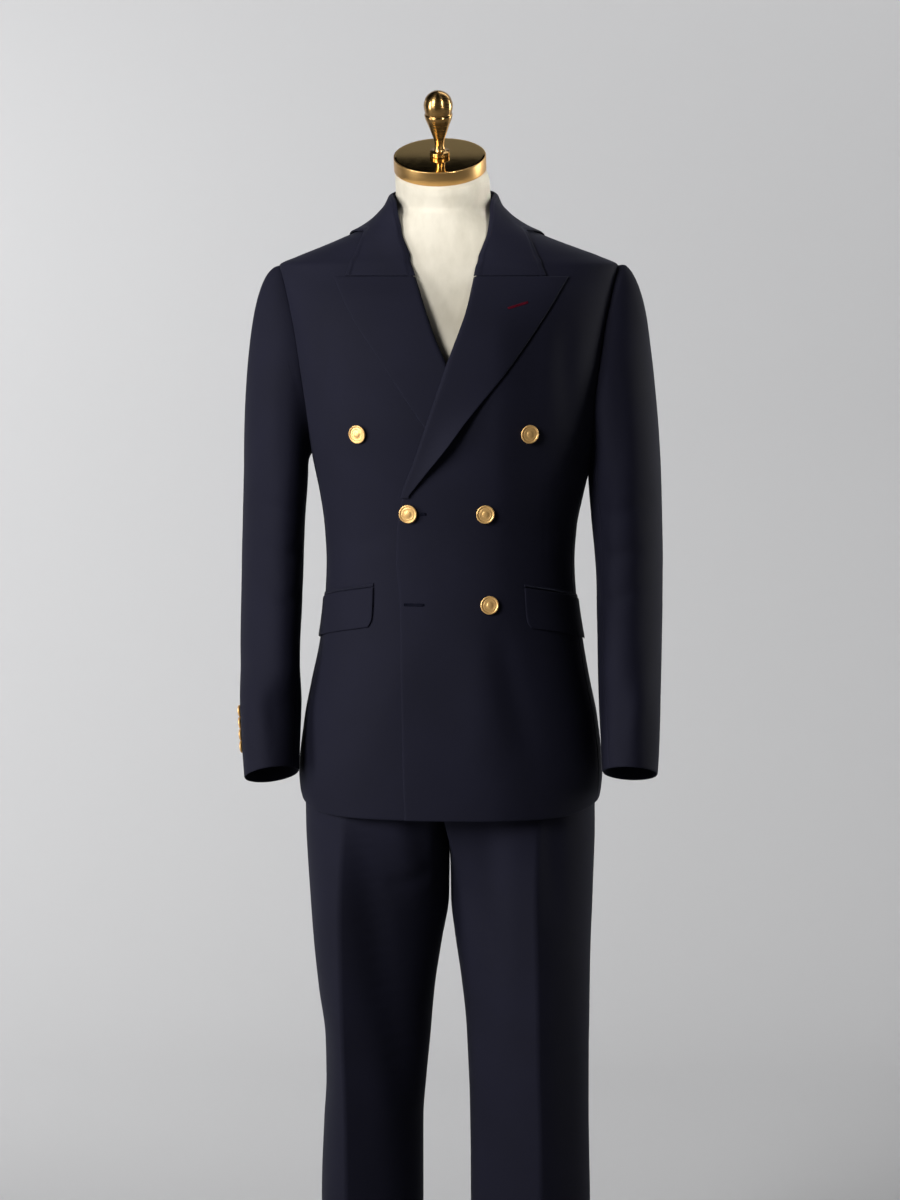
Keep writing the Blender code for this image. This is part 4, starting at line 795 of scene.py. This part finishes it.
body_levels = np.concatenate([
    HEM + (SIDE_JOIN - HEM) * shares(118, SIDE_JOIN - HEM)[:-4],
    np.linspace(SIDE_JOIN - 0.002, SHOULDER_TIP - 0.0025, 54),
    SHOULDER_TIP - 0.0025 + (NECK_SEAM - SHOULDER_TIP + 0.0025) * shares(40, NECK_SEAM - SHOULDER_TIP)])
body_levels = np.unique(body_levels)[:, None]
for side, hand, edge, height in ((1, "left", LEFT_EDGE, over), (-1, "right", RIGHT_EDGE, drape)):
    start = edge_angle(edge, side, body_levels)
    end = side * np.radians(outer_limit(body_levels, ARMHOLE_FRONT, SIDE_SEAM_FRONT, -1))
    turn = start + (end - start) * shares(76, 0.28)[None, :]
    z = hem_height(turn, body_levels + 0 * turn)
    piece = wall(f"front_{hand}_cloth", body, turn, z, height(body(turn, z)[..., 0], z), JACKET_CLOTH)
    cut(piece, f"front_{hand}")

    start = side * np.radians(outer_limit(body_levels, ARMHOLE_BACK, SIDE_SEAM_BACK, 1))
    end = side * (math.pi - SEAM / 2 / smooth(BODY, "back", body_levels))
    share = shares(62, 0.24)[None, :]
    turn = start + (end - start) * share
    z = hem_height(turn, body_levels + 0 * turn)
    calm = ease(share, 0, 0.12) * (1 - 0.6 * ease(share, 0.9, 1.0))
    lift = strokes(np.abs(body(turn, z)[..., 0]), z, BODY_BACK_FOLDS) * calm
    piece = wall(f"back_{hand}_cloth", body, turn, z, lift, JACKET_CLOTH)
    cut(piece, f"back_{hand}")

    gap = np.degrees(SEAM / 2 / 0.17) * 1.6
    reach = SIDE_SEAM_FRONT + gap + (SIDE_SEAM_BACK - SIDE_SEAM_FRONT - 2 * gap) * shares(24, 0.085)
    share = np.where(reach < SHOULDER_SEAM, (SHOULDER_SEAM - reach) / ARMHOLE_FRONT,
                     (reach - SHOULDER_SEAM) / ARMHOLE_BACK)
    top = ARMHOLE_MIDDLE - ARMHOLE_HALF * np.sqrt(np.maximum(1 - share ** 2, 0))
    top = np.minimum(top, SIDE_JOIN)
    z = HEM + shares(118, SIDE_JOIN - HEM)[:, None] * (top[None, :] - HEM)
    turn = side * np.radians(reach)[None, :] + 0 * z
    piece = wall(f"side_{hand}_cloth", body, turn, hem_height(turn, z), 0.0, JACKET_CLOTH)
    cut(piece, f"side_{hand}")

# The seam allowance inside each armhole: a narrow ring under the body's and the sleeve's edge.
turn = np.radians(np.arange(0, 360, 2.5))[None, :]
for side, hand in ((1, "left"), (-1, "right")):
    wide = 0.93 + 0.14 * shares(4, 0.016)[:, None]
    reach = np.where(np.sin(turn) > 0, ARMHOLE_FRONT, ARMHOLE_BACK)
    around = side * np.radians(SHOULDER_SEAM - reach * np.sin(turn) * wide)
    height = ARMHOLE_MIDDLE + ARMHOLE_HALF * np.cos(turn) * wide
    piece = wall(f"armhole_allowance_{hand}", body, around, height, -JACKET_CLOTH - 0.0001, 0.0008, ring=True)
    settle(piece, "wool")

# ---------------------------------------------------------------- lapels
# Cut in one with the facings: each rolls over its front's edge and lies on the chest to its peak.
RIGHT_LAPEL = dict(
    height=(1.212, 1.226, 1.246, 1.276, 1.336, 1.390, 1.437),
    x=(0.030, 0.008, -0.013, -0.035, -0.075, -0.112, -0.136),
)
LEFT_LAPEL = dict(
    height=(1.172, 1.219, 1.272, 1.333, 1.393, 1.437),
    x=(-0.042, -0.006, 0.035, 0.083, 0.123, 0.148),
)
LAPEL_AIR, LAPEL_NOSE = 0.0013, 0.0026
LAPEL_TUCK, LAPEL_TUCK_WIDTH = 0.0029, 0.0016
LAPEL_BOW, LAPEL_BOW_UP, LAPEL_BOW_LENGTH = 0.010, 0.064, 0.040


def lapel_lift(x, z, side, edge, outline, base, bow):
    """Height of a lapel off the body: off the front under it, tucked in at the roll, bowed at its foot."""
    roll, reach = side * smooth(edge, "x", z), side * smooth(outline, "x", z)
    width = np.maximum(reach - roll, 0.008)
    tuck = LAPEL_TUCK * np.exp(-(side * x - roll + LAPEL_NOSE) / LAPEL_TUCK_WIDTH)
    off = bow * (np.clip((side * x - roll) / width, 0, 1)) ** 2 * np.exp(
        -((z - outline["height"][0] - LAPEL_BOW_UP) / LAPEL_BOW_LENGTH) ** 2)
    return base(x, z) + LAPEL_AIR + JACKET_CLOTH - tuck + off


for side, hand, edge, outline, base, bow in ((1, "left", LEFT_EDGE, LEFT_LAPEL, over, LAPEL_BOW),
                                             (-1, "right", RIGHT_EDGE, RIGHT_LAPEL, drape, 0.0)):
    foot, peak = outline["height"][0], outline["height"][-1] - 0.0003
    z = (foot + (peak - foot) * shares(84, 0.26))[:, None]
    roll, reach = side * smooth(edge, "x", z), side * smooth(outline, "x", z)
    width = np.maximum(reach - roll, 0.008)
    gap = np.concatenate([np.linspace(0, 0.004, 9) * np.ones_like(z),
                          0.004 + (width + LAPEL_NOSE - 0.004) * shares(30, 0.11)[None, 1:]], 1)
    x = side * (roll - LAPEL_NOSE + gap)
    z = z + 0 * x
    piece = wall(f"lapel_{hand}_cloth", body, angle_at(x, z), z,
                 lapel_lift(x, z, side, edge, outline, base, bow), JACKET_CLOTH)
    cut(piece, f"lapel_{hand}")

# ---------------------------------------------------------------- collar
# A fall that rolls over a stand; the stand is sewn to the neck seam.
COLLAR_SECTION = dict(
    share=(-0.045, 0.0, 0.07, 0.2, 0.4, 0.6, 0.8, 1.0),
    lie=(0.0010, 0.0033, 0.0044, 0.0046, 0.0044, 0.0042, 0.0038, 0.0034),
)
COLLAR_FULL, COLLAR_FULL_AT, COLLAR_FULL_REACH = 0.0024, 0.52, 0.26
LAPEL_FACE = 0.0031          # the collar comes down to the lapel's face at the gorge
STAND_START = 62.0
station = np.linspace(0, 1, 110)
right, left, top, low, right_edge, left_edge = (smooth(COLLAR, key, station, key="station") for key in (
    "right_roll", "left_roll", "roll_height", "edge_height", "right_edge", "left_edge"))
roll, edge, top, low, station = (np.concatenate([one, other[-2::-1]])[:, None] for one, other in (
    (left, 360 - right), (left_edge, 360 - right_edge), (top, top), (low, low), (station, station)))
nose = 0.045 - 0.014 * (1 - ease(station, 0, 0.15))
share = -nose + (1 + nose) * shares(26, 0.055)[None, :]
turn = np.radians(roll + (edge - roll) * share)
near = np.clip((station - COLLAR_FULL_AT) / COLLAR_FULL_REACH, -1, 1)
full = COLLAR_FULL * (0.5 + 0.5 * np.cos(math.pi * near)) * np.sin(math.pi * np.clip(share, 0, 1))
over_lapel = LAPEL_FACE + 0.0015 * ease(station, 0, 0.12)
lie = np.minimum(smooth(COLLAR_SECTION, "lie", share, key="share"), over_lapel) + full
piece = wall("collar_cloth", body, turn, top + (low - top) * share, lie, JACKET_CLOTH)
cut(piece, "collar")

degrees = (STAND_START + (360 - 2 * STAND_START) * shares(120, 0.25))[:, None]
left_top = smooth(COLLAR, "roll_height", degrees, key="left_roll")
right_top = smooth(COLLAR, "roll_height", 360 - degrees, key="right_roll")
top = np.where(degrees < 180, left_top, right_top) - 0.001
seam = NECK_SEAM + 2 * SEAM
share = shares(8, 0.028)[None, :]
piece = wall("collar_stand_cloth", body, np.radians(degrees) + 0 * share, seam + (top - seam) * share, 0.0,
             JACKET_CLOTH)
cut(piece, "collar_stand")

# ---------------------------------------------------------------- pocket flaps
# Each hangs from a jetted slit and slants down to the side, its lower corners rounded.
FLAP_HEIGHT, FLAP_CLOTH, FLAP_AIR = 0.049, 0.0016, 0.0011
FLAP_INNER_X = {1: 0.0963, -1: 0.0854}
FLAP_END, FLAP_TOP, FLAP_SLANT = math.radians(98.0), 1.062, 0.024
JET = 0.0045
for side, hand, base in ((1, "left", over), (-1, "right", drape)):
    start = abs(angle_at(side * FLAP_INNER_X[side], FLAP_TOP))
    run = shares(46, 0.15)[None, :]
    share = shares(20, FLAP_HEIGHT)[:, None]
    pull = 0.05 * np.clip((share - 0.75) / 0.25, 0, 1) ** 2
    wide = side * (start + (FLAP_END - start) * (0.5 + (run - 0.5) * (1 - 1.2 * pull)))
    z = FLAP_TOP - FLAP_SLANT * run - FLAP_HEIGHT * share
    lift = base(body(wide, z)[..., 0], z) + FLAP_AIR + FLAP_CLOTH
    piece = wall(f"flap_{hand}_cloth", body, wide, z, lift, FLAP_CLOTH)
    cut(piece, f"flap_{hand}")
    z = FLAP_TOP - FLAP_SLANT * run + 0.0006 + JET * shares(5, JET)[:, None]
    wide = side * (start + (FLAP_END - start) * run) + 0 * z
    lift = base(body(wide, z)[..., 0], z) + 0.0013
    piece = wall(f"pocket_jet_{hand}", body, wide, z, lift, 0.0012)
    settle(piece, "wool")

# ---------------------------------------------------------------- sleeves
# Top and under sleeve, eased into the armhole so that the head stands up a little at the seam.
SLEEVE = dict(
    height=(0.780, 0.815, 0.857, 0.916, 0.985, 1.034, 1.087, 1.130, 1.200, 1.260),
    outer=(0.2515, 0.2535, 0.2568, 0.2600, 0.2625, 0.2630, 0.2630, 0.2622, 0.2600, 0.2570),
    inner=(0.1880, 0.1875, 0.1860, 0.1840, 0.1835, 0.1820, 0.1808, 0.1795, 0.1748, 0.1740),
    centre_y=(-0.068, -0.061, -0.050, -0.031, -0.012, 0.000, 0.009, 0.012, 0.010, 0.006),
    half_depth=(0.0480, 0.0490, 0.0510, 0.0540, 0.0580, 0.0600, 0.0620, 0.0640, 0.0660, 0.0670),
)
SLEEVE_TOP_RING = 1.200
SLEEVE_TURN = {1: 0.15, -1: 0.42}        # how far the fold of each forearm's front lies to its inner side
TURN_FROM, TURN_FULL = 0.912, 0.965      # it starts above the cuff's buttons
HINDARM_SEAM, FOREARM_SEAM = {1: -50.0, -1: -22.0}, {1: 136.0, -1: 150.0}
SLEEVE_RISE, SLEEVE_LEAVE = {1: 0.47, -1: 0.53}, {1: 0.122, -1: 0.136}
SLEEVE_DROOP = 0.75          # how much the underarm's curve leaves the armhole downward
CUFF = {1: 0.8310, -1: 0.8260}
CUFF_OUTER_DROP = {1: 0.001, -1: 0.006}
CUFF_FRONT_RISE, CUFF_SWAY = 0.0145, 0.0045
SLEEVE_REST, SLEEVE_REST_TURN = 0.0045, math.radians(163)    # the left arm leans on the body here
SLEEVE_BULGE, SLEEVE_BULGE_TURN = 0.0060, math.radians(118)  # and its head stands forward of the seam here
SLEEVE_EASE = dict(          # fullness of the left sleeve's head over its outer side
    height=(1.200, 1.242, 1.290, 1.340, 1.362, 1.386, 1.410, 1.434, 1.455),
    lift=(0.0, -0.0015, -0.0022, -0.0015, -0.0005, 0.0012, 0.0026, 0.0036, 0.0042),
)
ARMHOLE_TUCK = 0.0012        # the sleeve's edge is turned into the armhole by this much
SLEEVE_ROUND = 0.045         # metres of sleeve to a radian, for laying out its folds
SLEEVE_FOLDS = (
    dict(start=(0.020, 1.170), bend=(0.060, 1.145), end=(0.110, 1.150), width=0.012, depth=-0.0024),
    dict(start=(0.040, 1.110), bend=(0.080, 1.090), end=(0.120, 1.105), width=0.011, depth=-0.0028),
    dict(start=(0.050, 1.060), bend=(0.085, 1.035), end=(0.125, 1.050), width=0.010, depth=-0.0022),
    dict(start=(0.030, 1.000), bend=(0.045, 0.930), end=(0.070, 0.880), width=0.016, depth=0.0018),
    dict(start=(-0.040, 1.130), bend=(-0.050, 1.070), end=(-0.045, 1.000), width=0.018, depth=0.0020),
    dict(start=(0.060, 1.340), bend=(0.075, 1.270), end=(0.070, 1.190), width=0.014, depth=-0.0022),
    dict(start=(0.020, 1.300), bend=(0.030, 1.220), end=(0.025, 1.140), width=0.020, depth=0.0014),
    dict(start=(-0.075, 1.360), bend=(-0.060, 1.290), end=(-0.050, 1.210), width=0.014, depth=-0.0026),
    dict(start=(0.075, 0.950), bend=(0.085, 0.900), end=(0.080, 0.850), width=0.012, depth=-0.0014),
)


def sleeve_ring(angle, z, side):
    """A level section: an ellipse between the outer and inner line, its front drawn to the inner side."""
    outer, inner = smooth(SLEEVE, "outer", z), smooth(SLEEVE, "inner", z)
    turn = SLEEVE_TURN[side] * ease(z, TURN_FROM, TURN_FULL)
    across = (np.cos(angle) - turn * np.sin(angle)) / np.sqrt(1 + turn ** 2)
    x = (outer + inner) / 2 + (outer - inner) / 2 * across
    y = smooth(SLEEVE, "centre_y", z) - smooth(SLEEVE, "half_depth", z) * np.sin(angle)
    return np.stack([x, y, z + 0 * angle], -1)


def sleeve(angle, v, side):
    """A sleeve, the right one mirrored: v is 0 at the cuff, 1 at the top ring and 2 at the armhole.

    The angle starts at the outer side and the front is at +90 degrees. Above the top ring each
    line is a Bezier curve to its point of the armhole, which leaves the body square to it.
    """
    angle, v = np.broadcast_arrays(np.asarray(angle, float), np.asarray(v, float))
    low = CUFF[side] + CUFF_FRONT_RISE * np.sin(angle) - CUFF_OUTER_DROP[side] * np.cos(angle)
    arm = sleeve_ring(angle, low + (SLEEVE_TOP_RING - low) * np.clip(v, -1, 1), side)
    arm[..., 0] += side * CUFF_SWAY * (1 - ease(arm[..., 2], 0.80, 1.00))
    reach = np.where(np.sin(angle) > 0, ARMHOLE_FRONT, ARMHOLE_BACK)
    place = side * np.radians(SHOULDER_SEAM - reach * np.sin(angle))
    height = ARMHOLE_MIDDLE + ARMHOLE_HALF * np.cos(angle)
    hole = raised(body, place, height, -ARMHOLE_TUCK)
    leave = (raised(body, place, height, 0.001 - ARMHOLE_TUCK) - hole) * (side, 1, 1)
    hole = hole * (side, 1, 1)
    leave = leave / 0.001 + np.array([0, 0, -SLEEVE_DROOP]) * (1 - np.cos(angle))[..., None]
    leave[..., 2] = np.where(np.cos(angle) > 0.2, np.minimum(leave[..., 2], 0.25), leave[..., 2])
    leave /= np.linalg.norm(leave, axis=-1, keepdims=True)
    ring = sleeve_ring(angle, SLEEVE_TOP_RING + 0 * angle, side)
    length = np.linalg.norm(hole - ring, axis=-1, keepdims=True)
    t = np.clip(v - 1, 0, 1)[..., None]
    near_ring = ring + np.array([0, 0, SLEEVE_RISE[side]]) * length
    near_hole = hole + leave * length * SLEEVE_LEAVE[side]
    head = ((1 - t) ** 3 * ring + 3 * t * (1 - t) ** 2 * near_ring
            + 3 * t * t * (1 - t) * near_hole + t ** 3 * hole)
    return np.where(v[..., None] <= 1, arm, head)


def sleeve_around(side):
    """The sleeve with its angle turned round, so that its normals point out."""
    def surface(minus_angle, v):
        return sleeve(-minus_angle, v, side)
    return surface


sleeve_rows = np.concatenate([shares(92, 0.375)[:-4], np.linspace(0.99, 1.94, 58),
                              [1.955, 1.97, 1.98, 1.988, 1.994, 1.9999]])[:, None]
for side, hand in ((1, "left"), (-1, "right")):
    surface = sleeve_around(side)
    gap = np.degrees(SEAM / 2 / 0.05)
    for name, start, end, columns in (("topsleeve", HINDARM_SEAM[side], FOREARM_SEAM[side], 56),
                                      ("undersleeve", FOREARM_SEAM[side], HINDARM_SEAM[side] + 360, 50)):
        share = shares(columns, 0.17)[None, :]
        turn = np.radians(start + gap + (end - start - 2 * gap) * share) + 0 * sleeve_rows
        z = surface(-turn, sleeve_rows)[..., 2]
        calm = ease(share, 0, 0.08) * (1 - ease(share, 0.92, 1.0)) * (1 - ease(sleeve_rows, 1.75, 1.95))
        lift = strokes(turn * SLEEVE_ROUND, z, SLEEVE_FOLDS) * calm
        if side > 0:
            head = 1 - ease(sleeve_rows, 1.90, 1.995)
            rest = SLEEVE_REST * np.exp(-((turn - SLEEVE_REST_TURN) / 0.33) ** 2)
            bulge = SLEEVE_BULGE * np.exp(-((turn - SLEEVE_BULGE_TURN) / 0.55) ** 2)
            lift = (lift + rest * ease(z, 1.06, 1.15) * (1 - ease(z, 1.27, 1.34))
                    + bulge * ease(z, 1.20, 1.30) * head
                    + smooth(SLEEVE_EASE, "lift", z) * np.clip(np.cos(turn), 0, 1) * head)
        piece = wall(f"{name}_{hand}_cloth", surface, -turn, sleeve_rows, lift, JACKET_CLOTH, side=side)
        cut(piece, f"{name}_{hand}")

# ---------------------------------------------------------------- buttons
# Gilt metal on a shank: a raised rim, a sunk face with a fine ring, and a low plain boss. The
# gilding is satin and scatters the light, so it is set as part metal only.
BUTTON, CUFF_BUTTON = 0.0225, 0.015
gilt, tree, shader = surface_material("gilt_metal", Base_Color=linear("#efc07a"), Metallic=0.55,
                                      Roughness=0.42)
hazed(tree, shader, 0.38, 0.46, scale=1500.0, detail=3.0)
FRONT_BUTTONS = (
    dict(name="button_top_right", x=-0.103, z=1.248, base=drape),
    dict(name="button_top_left", x=0.103, z=1.249, base=over),
    dict(name="button_waist_right", x=-0.041, z=1.153, base=over),
    dict(name="button_waist_left", x=0.050, z=1.153, base=over),
    dict(name="button_low_left", x=0.055, z=1.042, base=over),
)


def button(name, place, axis, width, sides=56):
    """A shank button; every radius is a share of its own."""
    r = width / 2
    profile = rounded([(0.28 * r, 0.0004), (0.28 * r, 0.0016), (0.92 * r, 0.0019), (r, 0.0030),
                       (0.985 * r, 0.0041), (0.90 * r, 0.0046), (0.82 * r, 0.0041), (0.78 * r, 0.0036),
                       (0.66 * r, 0.0037), (0.62 * r, 0.0040), (0.58 * r, 0.0037), (0.34 * r, 0.0039),
                       (0.28 * r, 0.0044), (0.10 * r, 0.0047), (1e-5, 0.0047)], 0.00035, steps=3)
    made = turned(f"{name}_gilt", profile, gilt, middle=place, axis=axis, sides=sides)
    return settle(made, "gold", name)


for row in FRONT_BUTTONS:
    turn, lift = angle_at(row["x"], row["z"]), row["base"](row["x"], row["z"])
    place = raised(body, turn, row["z"], lift)
    button(row["name"], place, raised(body, turn, row["z"], lift + 0.01) - place, BUTTON)

CUFF_BUTTON_UP, CUFF_BUTTON_STEP, CUFF_BUTTON_SINK = 0.0393, 0.0140, 0.0006
CUFF_BUTTON_TURN = {1: math.radians(38), -1: math.radians(8)}
for side, hand in ((1, "left"), (-1, "right")):
    surface = sleeve_around(side)
    for i in range(4):
        v = (CUFF_BUTTON_UP + i * CUFF_BUTTON_STEP) / (SLEEVE_TOP_RING - CUFF[side])
        place = raised(surface, CUFF_BUTTON_TURN[side], v, -CUFF_BUTTON_SINK)
        out = raised(surface, CUFF_BUTTON_TURN[side], v, 0.01) - place
        button(f"cuff_button_{hand}_{i + 1}", place * (side, 1, 1), out * (side, 1, 1), CUFF_BUTTON, sides=40)

# ---------------------------------------------------------------- buttonholes
# Worked by hand in silk twist: close stitches round a slit, a dark red one on the lapel.
THREAD_COLOURS = dict(navy="#0e0f1b", red="#4b0a19")


def twist_material(name, code):
    """Silk twist, nearly matt, with a fine noise of strands."""
    made, tree, shader = surface_material(name, Base_Color=linear(code), Roughness=0.7,
                                          Specular_IOR_Level=0.05)
    rippled(tree, shader, scale=2500.0, detail=2.0, strength=0.4, distance=0.0001)
    return made


STITCHES = 64


def buttonhole(name, centre, half_length, slope, lift, finish, thread=0.0010):
    """A racetrack of thread: a half round section whose radius swells once for each stitch.

    The path lies in the front view round the slit, and every point goes to the height of the cloth.
    """
    t = np.linspace(0, 1, STITCHES * 5, endpoint=False)
    swell = 0.85 + 0.25 * np.abs(np.sin(math.pi * STITCHES * t))
    turn = math.tau * t
    along_x = half_length * np.sign(np.cos(turn)) * np.abs(np.cos(turn)) ** 0.35
    along_z = 0.9 * thread * np.sign(np.sin(turn)) * np.abs(np.sin(turn)) ** 0.6
    section = np.linspace(0, math.pi, 7)[None, :]
    spread = np.cos(section) * thread * swell[:, None]
    up = np.sin(section) * 0.7 * thread * swell[:, None] + 0.00005
    px = along_x[:, None] * (1 + spread / half_length)
    pz = along_z[:, None] + np.sign(along_z)[:, None] * spread
    x = centre[0] + px * math.cos(slope) - pz * math.sin(slope)
    z = centre[1] + px * math.sin(slope) + pz * math.cos(slope)
    points = raised(body, angle_at(x, z), z, lift(x, z) + up)
    base = raised(body, angle_at(x[:, :1], z[:, :1]), z[:, :1], lift(x[:, :1], z[:, :1]) - 0.0004)
    floor = raised(body, angle_at(x[:, -1:], z[:, -1:]), z[:, -1:], lift(x[:, -1:], z[:, -1:]) - 0.0004)
    ring = np.concatenate([base, points, floor], 1)
    rows, columns = ring.shape[:2]
    i, j = np.arange(rows)[:, None], np.arange(columns)[None, :]
    quads = np.stack(np.broadcast_arrays(i * columns + j, ((i + 1) % rows) * columns + j,
                                         ((i + 1) % rows) * columns + (j + 1) % columns,
                                         i * columns + (j + 1) % columns), -1).reshape(-1, 4)
    return settle(mesh_object(name, ring, quads, finish), "wool")


navy_twist = twist_material("navy_silk_twist", THREAD_COLOURS["navy"])
red_twist = twist_material("red_silk_twist", THREAD_COLOURS["red"])


def on_left_lapel(x, z):
    """Height of the left lapel's face."""
    return lapel_lift(x, z, 1, LEFT_EDGE, LEFT_LAPEL, over, LAPEL_BOW)


buttonhole("lapel_hole", (0.0885, 1.4015), 0.0118, math.radians(18), on_left_lapel, red_twist, thread=0.0008)
buttonhole("waist_hole", (-0.0335, 1.1525), 0.0130, 0.0, over, navy_twist)
buttonhole("low_hole", (-0.0350, 1.0420), 0.0115, 0.0, over, navy_twist)
